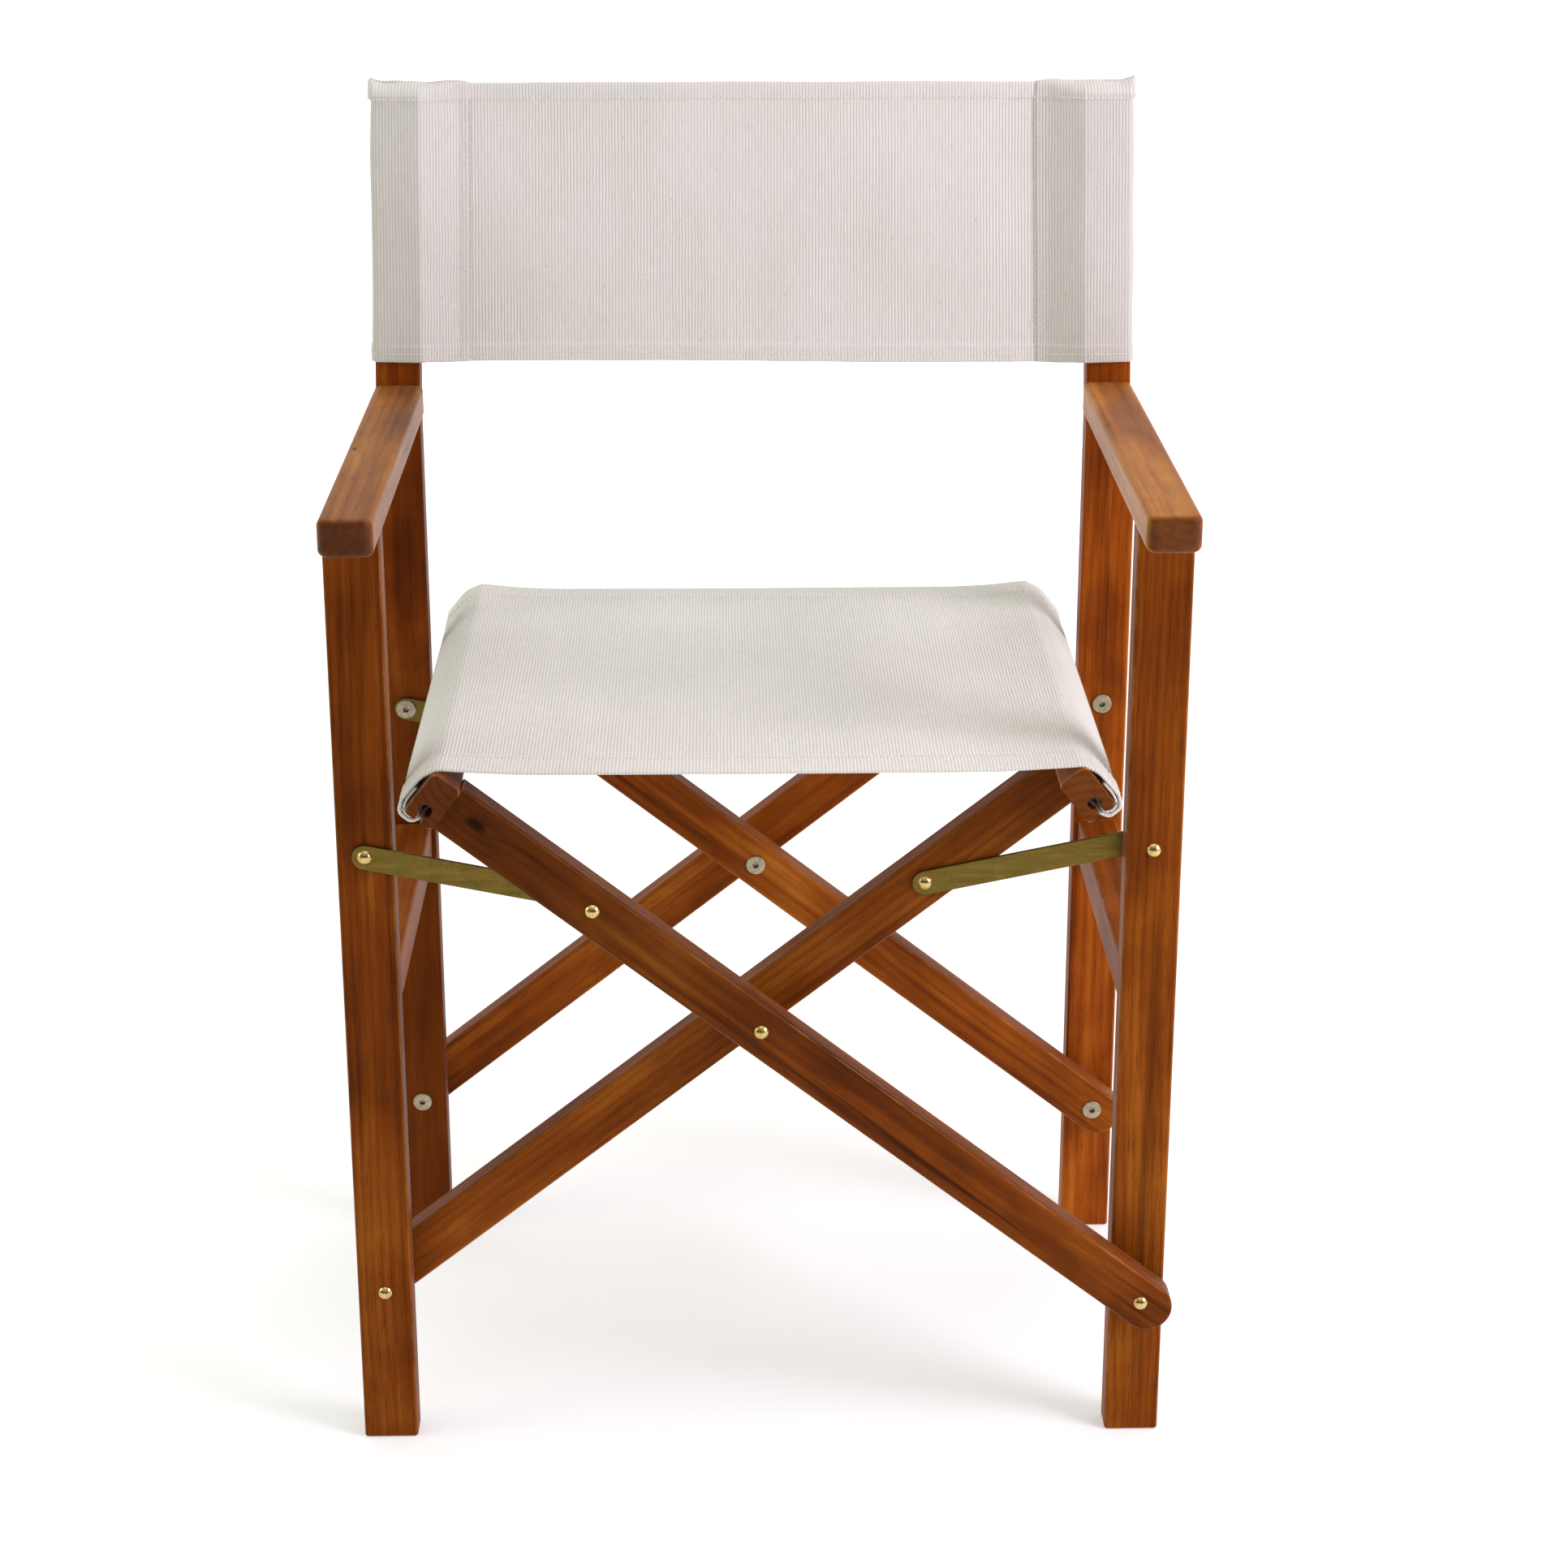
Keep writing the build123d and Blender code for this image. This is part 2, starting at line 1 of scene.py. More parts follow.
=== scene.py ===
import bpy
import json
import math
import numpy as np
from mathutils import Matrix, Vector


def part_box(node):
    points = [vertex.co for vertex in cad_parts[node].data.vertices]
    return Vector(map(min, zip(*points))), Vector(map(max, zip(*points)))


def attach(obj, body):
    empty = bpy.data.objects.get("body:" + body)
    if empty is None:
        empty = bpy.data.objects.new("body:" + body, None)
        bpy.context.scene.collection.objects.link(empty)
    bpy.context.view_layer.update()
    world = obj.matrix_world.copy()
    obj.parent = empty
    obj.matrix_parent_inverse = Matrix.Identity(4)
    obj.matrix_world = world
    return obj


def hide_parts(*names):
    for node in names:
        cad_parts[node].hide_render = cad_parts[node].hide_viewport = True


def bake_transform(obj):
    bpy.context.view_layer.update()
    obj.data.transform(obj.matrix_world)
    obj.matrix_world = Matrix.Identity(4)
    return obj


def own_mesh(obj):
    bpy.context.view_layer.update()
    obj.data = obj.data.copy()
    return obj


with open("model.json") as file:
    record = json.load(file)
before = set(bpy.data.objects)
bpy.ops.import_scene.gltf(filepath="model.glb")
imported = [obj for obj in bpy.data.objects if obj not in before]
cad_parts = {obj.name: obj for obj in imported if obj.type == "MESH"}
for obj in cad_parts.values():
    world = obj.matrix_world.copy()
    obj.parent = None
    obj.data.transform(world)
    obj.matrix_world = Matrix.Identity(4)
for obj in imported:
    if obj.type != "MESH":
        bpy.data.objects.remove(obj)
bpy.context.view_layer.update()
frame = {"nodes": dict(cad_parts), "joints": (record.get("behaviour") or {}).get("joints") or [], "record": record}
NODES = frame["nodes"]
JOINTS = {joint["name"]: joint for joint in frame["joints"]}
SIDES = ("left", "right")
HAND = {"left": -1, "right": 1}
MM = 0.001
rng = np.random.default_rng(7)    # drawn from once for each piece of wood, in order

# The bars' slope, from the bottom pivot and the point where two bars cross
PIVOT = Vector(JOINTS["fold"]["pos_m"])
CROSS = Vector(JOINTS["scissor"]["pos_m"])
BAR_ANGLE = math.atan2(CROSS.z - PIVOT.z, CROSS.x - PIVOT.x)

# ---- Cloth sizes, in metres ----
CLOTH = 1.15 * MM            # single thickness
RIB = 2.2 * MM               # pitch of the canvas's ribs
SEAT_HEM = 27 * MM           # width of the hems along the seat's front and rear edges
RAIL_EDGE = 204.5 * MM       # where the seat leaves a rail's top corner, from the middle
REACH = 30 * MM              # over which the cloth beside an upright or rail comes free
SEAT_SAG = 3.2 * MM          # at the seat's middle
REAR_SAG = 1.3 * MM          # further sag at the seat's rear edge
LOOP_INSET = 9 * MM          # how far the loop round a rod ends inside its keyhole
SLING_HEM = 11 * MM          # width of the hems along the back's upper and lower edges
SEAM_GAP = 28 * MM           # from the upright's inner face to the back's seam
SEAM_WIDTH = 7 * MM          # between the seam's two rows of stitches
SEAM_HALF = 1.2 * CLOTH      # from the panel's middle to a flap's middle at the seam
FLAP_EDGE = 0.8 * CLOTH      # the same at the flap's thin free edge
TUCK = {"left": 6 * MM, "right": 20 * MM}    # the panel's edge beyond the seam, inside the flap
HEM_DROP = 2.2 * MM          # how much lower the back's hem hangs between the uprights
HEM_SKEW = 2.2 * MM          # and how much lower towards its right end
SLEEVE_LEAN = 5.5 * MM       # how far inwards the sleeve's top has leaned with the upright
UPRIGHT_EASE = 2.3 * MM      # from the CAD panel's edge to the upright's inner face
UPRIGHT_WIDTH = 31 * MM
RIDGE = 4.2 * MM             # how far the sleeve stands proud at the upright's inner front edge
OUTER_EASE = 0.9 * MM        # how far it stands off the upright's outer face
ARC_STEP = 0.9 * MM          # longest run of a mesh round a bend
STITCH = 3.2 * MM            # length of one stitch
STITCH_PITCH = 4.2 * MM
THREAD = 0.32 * MM           # the thread's radius

# ---- Camera and light ----
LENS = 74.94                 # millimetres, with the sensor
SENSOR = 36
CAMERA_PLACE = (-0.0243, -2.11525, 1.1721)
CAMERA_DIP = 0.3450          # radians below level
CAMERA_TURN = 0.0202         # radians to the chair's right
KEY_RIGHT = 31               # watts
KEY_LEFT = 10
OVERHEAD = 20
FLOOR_GLOW = 0.32            # the floor's emission under the chair
WORLD_FRONT = (0.10, 0.10, 0.10)
WORLD_BACK = (1.0, 1.0, 1.0)
WORLD_STRENGTH = 0.62


# ---- Camera, floor and light ----

def make_camera():
    data = bpy.data.cameras.new("camera")
    data.lens = LENS
    data.sensor_width = SENSOR
    camera = bpy.data.objects.new("camera", data)
    camera.location = CAMERA_PLACE
    camera.rotation_euler = (math.pi / 2 - CAMERA_DIP, 0, -CAMERA_TURN)
    bpy.context.scene.collection.objects.link(camera)
    bpy.context.scene.camera = camera


def area_light(name, place, target, size, power, colour):
    data = bpy.data.lights.new(name, "AREA")
    data.shape = "RECTANGLE"
    data.size, data.size_y = size
    data.energy = power
    data.color = colour
    light = bpy.data.objects.new(name, data)
    light.location = place
    aim = Vector(target) - Vector(place)
    light.rotation_euler = aim.to_track_quat("-Z", "Y").to_euler()
    bpy.context.scene.collection.objects.link(light)


class Graph:
    """Short calls for building one node tree."""

    def __init__(self, tree):
        self.tree = tree
        tree.nodes.clear()

    def node(self, kind, values=None, **settings):
        made = self.tree.nodes.new("ShaderNode" + kind)
        for name, value in settings.items():
            setattr(made, name, value)
        for name, value in (values or {}).items():
            self.put(made.inputs[name], value)
        return made

    def put(self, socket, value):
        if isinstance(value, bpy.types.NodeSocket):
            self.tree.links.new(value, socket)
        else:
            socket.default_value = value

    def math(self, operation, *values, clamp=False):
        made = self.node("Math", operation=operation, use_clamp=clamp)
        for socket, value in zip(made.inputs, values):
            self.put(socket, value)
        return made.outputs[0]

    def vector(self, operation, *values):
        made = self.node("VectorMath", operation=operation)
        for socket, value in zip(made.inputs, values):
            self.put(socket, value)
        return made.outputs["Value" if operation in ("LENGTH", "DOT_PRODUCT") else "Vector"]

    def split(self, vector):
        return self.node("SeparateXYZ", {"Vector": vector}).outputs

    def join(self, x, y, z):
        return self.node("CombineXYZ", {"X": x, "Y": y, "Z": z}).outputs["Vector"]

    def noise(self, place, scale, detail=2.0, roughness=0.5, distortion=0.0):
        """Noise from 0 to 1, with a scale along each axis in features per metre."""
        values = {"Vector": self.vector("MULTIPLY", place, scale), "Scale": 1.0, "Detail": detail}
        values.update({"Roughness": roughness, "Distortion": distortion})
        return self.node("TexNoise", values).outputs["Fac"]

    def ease(self, value, low, high, to_low=0.0, to_high=1.0):
        values = {"Value": value, "From Min": low, "From Max": high}
        values.update({"To Min": to_low, "To Max": to_high})
        return self.node("MapRange", values, interpolation_type="SMOOTHSTEP").outputs["Result"]

    def mix(self, share, one, other, blend="MIX"):
        made = self.node("Mix", data_type="RGBA", blend_type=blend, clamp_result=False)
        colours = [socket for socket in made.inputs if socket.type == "RGBA"]
        self.put(made.inputs[0], share)
        self.put(colours[0], one)
        self.put(colours[1], other)
        return [socket for socket in made.outputs if socket.type == "RGBA"][0]

    def ramp(self, value, stops):
        made = self.node("ValToRGB", {"Fac": value})
        elements = made.color_ramp.elements
        while len(elements) < len(stops):
            elements.new(0.5)
        for element, (place, colour) in zip(elements, stops):
            element.position = place
            element.color = colour
        return made.outputs["Color"]

    def bump(self, height, distance, normal=None):
        made = self.node("Bump", {"Height": height, "Distance": distance, "Strength": 1.0})
        if normal is not None:
            self.put(made.inputs["Normal"], normal)
        return made.outputs["Normal"]


def rgb(red, green, blue):
    """Linear colour from screen values of 0 to 255."""
    def linear(value):
        value /= 255
        return value / 12.92 if value <= 0.04045 else ((value + 0.055) / 1.055) ** 2.4
    return (linear(red), linear(green), linear(blue), 1.0)


def new_material(name):
    material = bpy.data.materials.new(name)
    material.use_nodes = True
    graph = Graph(material.node_tree)
    shader = graph.node("BsdfPrincipled")
    output = graph.node("OutputMaterial")
    graph.tree.links.new(shader.outputs[0], output.inputs["Surface"])
    return material, graph, shader


def make_studio():
    """White floor, a world that is bright behind the chair and dimmer in front, soft lights."""
    bpy.ops.mesh.primitive_plane_add(size=60, location=(0, 0, 0))
    floor = bpy.context.object
    floor.name = "floor"
    material, graph, shader = new_material("floor_white")
    place = graph.node("TexCoord").outputs["Object"]
    shade = graph.noise(place, (3, 3, 3), detail=3)
    white = graph.ramp(shade, [(0.3, rgb(238, 238, 238)), (0.7, rgb(242, 242, 242))])
    graph.put(shader.inputs["Base Color"], white)
    shader.inputs["Roughness"].default_value = 0.9
    shader.inputs["Specular IOR Level"].default_value = 0.0
    shader.inputs["Emission Color"].default_value = (1, 1, 1, 1)
    far = graph.ease(graph.vector("LENGTH", place), 0.9, 3.2)
    behind = graph.ease(graph.split(place)["Y"], -1.2, 0.4)
    far = graph.math("MULTIPLY", far, behind)
    glow = graph.math("MULTIPLY_ADD", far, 1 - FLOOR_GLOW, FLOOR_GLOW)
    graph.put(shader.inputs["Emission Strength"], glow)
    floor.data.materials.append(material)

    world = bpy.data.worlds.new("studio")
    world.use_nodes = True
    bpy.context.scene.world = world
    graph = Graph(world.node_tree)
    direction = graph.split(graph.node("TexCoord").outputs["Generated"])
    behind = graph.ease(direction["Y"], -0.35, 0.6)
    above = graph.ease(direction["Z"], 0.2, 0.9)
    share = graph.math("MAXIMUM", behind, above)
    colour = graph.mix(share, (*WORLD_FRONT, 1), (*WORLD_BACK, 1))
    seen = graph.node("LightPath").outputs["Is Camera Ray"]
    colour = graph.mix(seen, colour, (1, 1, 1, 1))
    strength = graph.math("MULTIPLY_ADD", seen, 1.0 - WORLD_STRENGTH, WORLD_STRENGTH)
    background = graph.node("Background", {"Color": colour, "Strength": strength})
    output = graph.node("OutputWorld")
    graph.tree.links.new(background.outputs[0], output.inputs["Surface"])

    middle = (0, 0, 0.45)
    area_light("key_right", (1.75, -1.0, 1.3), middle, (0.9, 1.3), KEY_RIGHT, (1.0, 0.92, 1.04))
    area_light("key_left", (-2.1, -0.5, 1.2), middle, (1.0, 1.4), KEY_LEFT, (0.86, 1.0, 0.72))
    area_light("overhead", (0.1, 0.1, 2.6), (0, 0, 0), (2.4, 2.4), OVERHEAD, (1.0, 0.99, 0.97))
    bpy.context.scene.view_settings.view_transform = "Standard"
    bpy.context.scene.view_settings.look = "None"


# ---- Wood ----

# Wood level, from dark grain to light
WOOD_STOPS = [
    (0.24, rgb(72, 30, 5)),
    (0.42, rgb(116, 54, 9)),
    (0.56, rgb(146, 73, 15)),
    (0.76, rgb(182, 108, 34)),
]
DARK_STREAK = rgb(62, 24, 5)
# Lighter edges: wear, with a painted highlight along the rounded edges
WORN_AND_HIGHLIT = rgb(206, 140, 72)
PORE = rgb(52, 20, 4)
KNOT = rgb(40, 14, 5)
END_RING = rgb(56, 24, 8)
RING_PITCH = 6.2 * MM        # between growth rings
# Edge wear and its painted highlight, specular level, sheen, dark streaks, how far an end's tone reaches round its
# rim, and the end's colour
FINISHES = {
    "leg": (0.46, 0.04, 0.12, 0.55, 0.75, rgb(92, 46, 16)),
    "bar": (0.46, 0.05, 0.35, 0.90, 0.75, rgb(92, 46, 16)),
    "arm": (0.06, 0.14, 0.25, 0.40, 0.15, rgb(70, 22, 5)),
}


def local_box(node, turn):
    """Middle and half sizes of a node in its own grain's frame."""
    rows = np.array(turn.to_matrix())
    points = np.array([v.co for v in NODES[node].data.vertices]) @ rows.T
    low, high = points.min(0), points.max(0)
    return (low + high) / 2, (high - low) / 2


def wood_material(node, grain, tint, finish, knots=(), painted_shading=0.0):
    """Stained hardwood with its grain along one direction.

    tint multiplies this piece's colour, and on the side pieces also holds painted light (right side) and painted
    shade (left side). painted_shading darkens it towards its far end along the grain as painted shade (or
    brightens it there as painted light, where it is negative).
    knots are (x, y, z, radius) in the part's frame.
    """
    wear_and_highlight, specular, sheen, streaks, end_start, end_grain = FINISHES[finish]
    turn = Vector(grain).normalized().rotation_difference(Vector((0, 0, 1)))
    rows = np.array(turn.to_matrix())
    middle, half = local_box(node, turn)
    material, g, shader = new_material("wood_" + node)
    coords = g.node("TexCoord")
    mapping = g.node("Mapping", {"Vector": coords.outputs["Object"]}, vector_type="POINT")
    mapping.inputs["Rotation"].default_value = turn.to_euler()
    mapping.inputs["Location"].default_value = [-value for value in middle]
    place = mapping.outputs["Vector"]
    shift = rng.uniform(-3, 3, 3)
    seeded = g.vector("ADD", place, tuple(shift))

    # Growth rings round a pith beside the piece, bent by slow noise and by the knots
    sway = g.noise(seeded, (9, 9, 2.0), detail=2)
    pith = rng.uniform(0.02, 0.05, 2) * rng.choice([-1, 1], 2)
    x, y, z = g.split(place)[0:3]
    ring_x = g.math("ADD", x, g.math("MULTIPLY_ADD", sway, 0.034, float(pith[0])))
    ring_y = g.math("ADD", y, g.math("MULTIPLY_ADD", sway, -0.026, float(pith[1])))
    radius = g.vector("LENGTH", g.join(ring_x, ring_y, 0.0))
    knot_mask = None
    for *spot, size in knots:
        offset = g.vector("SUBTRACT", place, tuple(rows @ np.array(spot) - middle))
        reach = g.vector("LENGTH", g.vector("MULTIPLY", offset, (1 / size, 1 / size, 0.5 / size)))
        pull = g.math("MULTIPLY", g.math("EXPONENT", g.math("MULTIPLY", reach, -0.55)), 0.012)
        radius = g.math("ADD", radius, pull)
        dark = g.ease(reach, 0.35, 1.15, 1.0, 0.0)
        knot_mask = dark if knot_mask is None else g.math("MAXIMUM", knot_mask, dark)
    ring = g.math("SINE", g.math("MULTIPLY", radius, 2 * math.pi / RING_PITCH))
    ring = g.math("MULTIPLY_ADD", ring, 0.5, 0.5)
    ring = g.math("POWER", ring, 2.2)

    broad = g.noise(seeded, (30, 30, 3.2), detail=2, distortion=0.6)
    streak = g.noise(seeded, (210, 210, 4), detail=4, roughness=0.55)
    fibre = g.noise(seeded, (1100, 1100, 18), detail=3, roughness=0.6)
    blotch = g.noise(seeded, (16, 16, 9), detail=3, roughness=0.6)
    level = g.math("MULTIPLY", broad, 0.56)
    for part, share in ((streak, 0.24), (fibre, 0.20), (blotch, 0.56), (ring, -0.06)):
        level = g.math("MULTIPLY_ADD", part, share, level)
    level = g.math("SUBTRACT", level, 0.24)
    colour = g.ramp(level, WOOD_STOPS)
    dark_streak = g.ease(g.noise(seeded, (70, 70, 2.2), detail=4, roughness=0.6), 0.56, 0.74)
    colour = g.mix(g.math("MULTIPLY", dark_streak, streaks), colour, DARK_STREAK)
    pores = g.ease(g.noise(seeded, (1900, 1900, 55), detail=1), 0.64, 0.74)
    colour = g.mix(g.math("MULTIPLY", pores, 0.42), colour, PORE)
    if knot_mask is not None:
        colour = g.mix(g.math("MULTIPLY", knot_mask, 0.85), colour, KNOT)

    # End grain, where the surface faces along the grain
    facing = g.vector("DOT_PRODUCT", coords.outputs["Normal"], tuple(Vector(grain).normalized()))
    end = g.ease(g.math("ABSOLUTE", facing), end_start, 0.92)
    end_tone = g.mix(g.math("MULTIPLY", ring, 0.4), end_grain, END_RING)
    colour = g.mix(g.math("MULTIPLY", end, 0.8), colour, end_tone)

    # Worn edges with a painted highlight: lighter where the second smallest distance to the piece's faces is small
    inside = g.vector("SUBTRACT", tuple(half), g.vector("ABSOLUTE", place))
    a, b, c = g.split(inside)[0:3]
    low = g.math("MINIMUM", a, b)
    high = g.math("MAXIMUM", a, b)
    second = g.math("MAXIMUM", low, g.math("MINIMUM", high, c))
    ragged = g.math("MULTIPLY_ADD", g.noise(seeded, (170, 170, 60), detail=3), 0.0022, second)
    worn_and_highlit = g.ease(ragged, 0.0012, 0.0026, 1.0, 0.0)
    colour = g.mix(g.math("MULTIPLY", worn_and_highlit, wear_and_highlight), colour, WORN_AND_HIGHLIT)

    colour = g.mix(1.0, colour, (*tint, 1), blend="MULTIPLY")
    # Painted shade along the grain: darker towards the piece's far end, as in the seat's shadow on the left front
    # bar; a negative value paints light there instead
    shade = g.ease(z, -0.5 * float(half[2]), float(half[2]), 1.0, 1.0 - painted_shading)
    colour = g.mix(1.0, colour, g.join(shade, shade, shade), blend="MULTIPLY")
    g.put(shader.inputs["Base Color"], colour)
    rough = g.math("MULTIPLY_ADD", fibre, 0.22, 0.34)
    rough = g.math("MULTIPLY_ADD", worn_and_highlit, -0.06, rough)
    g.put(shader.inputs["Roughness"], rough)
    shader.inputs["Specular IOR Level"].default_value = specular
    shader.inputs["Sheen Weight"].default_value = sheen
    shader.inputs["Sheen Roughness"].default_value = 0.25
    shader.inputs["Sheen Tint"].default_value = rgb(255, 222, 204)
    relief = g.math("SUBTRACT", g.math("MULTIPLY", fibre, 0.7), g.math("MULTIPLY", pores, 0.8))
    relief = g.math("MULTIPLY_ADD", streak, 0.8, relief)
    g.put(shader.inputs["Normal"], g.bump(relief, 0.00022))
    return material


def paint(node, material):
    """Give a carried-over CAD node its material."""
    mesh = NODES[node].data
    mesh.materials.clear()
    mesh.materials.append(material)


def paint_wood():
    upright, level = (0, 0, 1), (0, 1, 0)
    for side in SIDES:
        hand = HAND[side]
        slope = (hand * math.cos(BAR_ANGLE), 0, math.sin(BAR_ANGLE))
        # Painted light and shade: the right side's legs, armrests and seat rails are tinted lighter and the left
        # side's darker, for the key light on the right
        lit = side == "right"
        pieces = {
            "front_leg": ("leg", upright, (0.82, 0.82, 0.70) if lit else (0.68, 0.66, 0.58)),
            "rear_leg": ("leg", upright, (1.20, 1.12, 1.10) if lit else (0.54, 0.50, 0.46)),
            "armrest": ("arm", level, (1.20, 1.60, 1.70) if lit else (1.04, 1.42, 1.16)),
            "side_rail": ("leg", level, (0.95, 0.95, 0.95)),
            "seat_rail": ("bar", level, (1.09, 1.15, 1.21) if lit else (0.86, 0.90, 0.90)),
            "rail_front_bar": ("bar", slope, (0.84, 0.86, 0.78)),
            "rail_rear_bar": ("bar", slope, (1.0, 1.0, 1.0)),
        }
        knots = {
            "left_armrest": [(-0.2604, -0.0495, 0.662, 0.0022)],
            "left_rail_front_bar": [(-0.1793, -0.18975, 0.4543, 0.0045)],
        }
        # Painted shade along single pieces, darker towards their far end; a negative value paints light
        painted_shadings = {"left_rail_front_bar": 0.55, "right_rail_front_bar": 0.25,
                 "left_rail_rear_bar": 0.2, "left_rear_leg": -0.8}
        for piece, (finish, grain, tint) in pieces.items():
            name = side + "_" + piece
            spots, painted_shading = knots.get(name, ()), painted_shadings.get(name, 0.0)
            paint(name, wood_material(name, grain, tint, finish, spots, painted_shading))


def dowel_material():
    material, g, shader = new_material("dowel_wood")
    place = g.node("TexCoord").outputs["Object"]
    fibre = g.noise(place, (600, 60, 600), detail=4)
    colour = g.ramp(fibre, [(0.3, rgb(176, 134, 84)), (0.7, rgb(214, 178, 126))])
    g.put(shader.inputs["Base Color"], colour)
    g.put(shader.inputs["Roughness"], g.math("MULTIPLY_ADD", fibre, 0.2, 0.5))
    g.put(shader.inputs["Normal"], g.bump(fibre, 0.0001))
    return material


# ---- Metal ----

def metal_material(name, stops, roughness, grain, stain, stain_colour, relief=0.04 * MM):
    """Plated steel: stops colour a fine brushed noise, and stain adds soft spots of another colour.

    grain is the brushed noise's scale along each axis.
    """
    material, g, shader = new_material(name)
    place = g.node("TexCoord").outputs["Object"]
    brushed = g.noise(place, grain, detail=4, roughness=0.65)
    cloud = g.noise(place, (70, 70, 70), detail=4, roughness=0.6, distortion=0.8)
    speck = g.ease(g.noise(place, (900, 900, 900), detail=2), 0.62, 0.72)
    colour = g.ramp(brushed, stops)
    colour = g.mix(g.math("MULTIPLY", g.ease(cloud, 0.38, 0.66), stain), colour, stain_colour)
    colour = g.mix(g.math("MULTIPLY", speck, 0.35), colour, rgb(84, 62, 28))
    g.put(shader.inputs["Base Color"], colour)
    shader.inputs["Metallic"].default_value = 1.0
    rough = g.math("MULTIPLY_ADD", cloud, 0.16, roughness - 0.08)
    rough = g.math("MULTIPLY_ADD", speck, 0.25, rough)
    g.put(shader.inputs["Roughness"], rough)
    g.put(shader.inputs["Normal"], g.bump(g.math("SUBTRACT", brushed, speck), relief))
    return material


def paint_metal():
    brass = metal_material("brass_dome", [(0.3, rgb(190, 154, 84)), (0.7, rgb(232, 208, 142))],
                           0.20, (500, 500, 500), 0.25, rgb(150, 112, 52))
    nut = metal_material("nut_plate", [(0.3, rgb(146, 134, 106)), (0.7, rgb(208, 200, 178))],
                         0.36, (700, 700, 700), 0.4, rgb(128, 108, 76))
    zinc = metal_material("yellow_zinc", [(0.3, rgb(104, 84, 36)), (0.7, rgb(128, 106, 52))],
                          0.40, (25, 300, 300), 0.4, rgb(92, 90, 34), relief=0.03 * MM)
    # The rods' steel is painted darker than plain steel: painted shade deep in the keyholes
    steel = metal_material("rod_steel", [(0.3, rgb(74, 72, 70)), (0.7, rgb(118, 115, 111))],
                           0.45, (900, 40, 900), 0.3, rgb(84, 66, 50))
    shown = {"brass_plate": brass, "nut_plate": nut, "yellow_zinc": zinc, "rod_steel": steel,
             "dowel_wood": dowel_material()}
    for part in frame["record"]["subparts"]:
        if part["material_slot"] in shown:
            paint(part["node"], shown[part["material_slot"]])


# ---- Canvas ----

# Painted shade for the sleeve where the upright's wood behind it stops light shining through the cloth
UPRIGHT_SHADE = (0.88, 0.88, 0.87, 1.0)
WEFT_PITCH = 1.2 * MM


def canvas_material(name, tint, shade_where_backed=False):
    """Ribbed cotton canvas. The UV map holds metres: u across the ribs, v along them.

    tint is the darker and the lighter screen colour of the cloth. shade_where_backed paints shade on the cloth
    where the upright's wood lies right behind it and stops light shining through.
    """
    material, g, shader = new_material(name)
    uv = g.node("UVMap", uv_map="cloth").outputs["UV"]
    place = g.node("TexCoord").outputs["Object"]
    u, v = g.split(uv)[0:2]
    wander = g.noise(uv, (40, 12, 1), detail=2)
    u_bent = g.math("MULTIPLY_ADD", wander, 0.0011, u)
    rib = g.math("SINE", g.math("MULTIPLY", u_bent, 2 * math.pi / RIB))
    rib = g.math("MULTIPLY_ADD", rib, 0.5, 0.5)
    groove_shade = g.math("POWER", g.math("SUBTRACT", 1.0, rib), 2.0)
    stagger = g.math("MULTIPLY", g.math("FLOOR", g.math("DIVIDE", u_bent, RIB)), 0.5)
    pick = g.math("ADD", g.math("DIVIDE", v, WEFT_PITCH), stagger)
    weft = g.math("SINE", g.math("MULTIPLY", pick, 2 * math.pi))
    weft = g.math("MULTIPLY_ADD", weft, 0.5, 0.5)
    yarn = g.noise(uv, (900, 160, 1), detail=3, roughness=0.7)
    dash = g.noise(uv, (455, 90, 1), detail=1)
    soft = g.noise(place, (7, 7, 7), detail=3)
    slub = g.ease(g.noise(uv, (520, 330, 1), detail=1), 0.735, 0.80)

    colour = g.ramp(soft, [(0.3, rgb(*tint[0])), (0.7, rgb(*tint[1]))])
    # Painted shade darkens the grooves between the ribs
    colour = g.mix(g.math("MULTIPLY", groove_shade, 0.30), colour, rgb(150, 144, 134))
    colour = g.mix(g.math("MULTIPLY", g.ease(dash, 0.35, 0.7), 0.10), colour, rgb(176, 168, 152))
    colour = g.mix(g.math("MULTIPLY", g.ease(yarn, 0.5, 0.8), 0.16), colour, rgb(255, 253, 248))
    colour = g.mix(g.math("MULTIPLY", slub, 0.5), colour, rgb(150, 122, 88))
    # Painted shade: the cloth is darker where the upright's wood lies right behind it
    if shade_where_backed:
        inner, _, _, _, low, high = sling_parts()
        wood_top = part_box("right_rear_leg")[1].z
        across, _, up = g.split(place)[0:3]
        lean_here = g.math("MULTIPLY", g.math("SUBTRACT", up, low), SLEEVE_LEAN / (high - low))
        over = g.math("ADD", g.math("ABSOLUTE", across), lean_here)
        wood = g.math("MULTIPLY", g.ease(over, inner - 0.0015, inner + 0.0005),
                      g.ease(up, wood_top - 0.001, wood_top + 0.002, 1.0, 0.0))
        colour = g.mix(g.math("MULTIPLY", wood, 0.75), colour, UPRIGHT_SHADE, blend="MULTIPLY")
    g.put(shader.inputs["Base Color"], colour)
    shader.inputs["Specular IOR Level"].default_value = 0.18
    shader.inputs["Sheen Weight"].default_value = 0.12
    shader.inputs["Sheen Roughness"].default_value = 0.5
    g.put(shader.inputs["Roughness"], g.math("MULTIPLY_ADD", yarn, 0.12, 0.82))
    height = g.math("MULTIPLY_ADD", weft, 0.22, g.math("POWER", rib, 0.7))
    height = g.math("MULTIPLY_ADD", yarn, 0.35, height)
    height = g.math("MULTIPLY_ADD", slub, 0.5, height)
    g.put(shader.inputs["Normal"], g.bump(height, 0.00022))
    return material


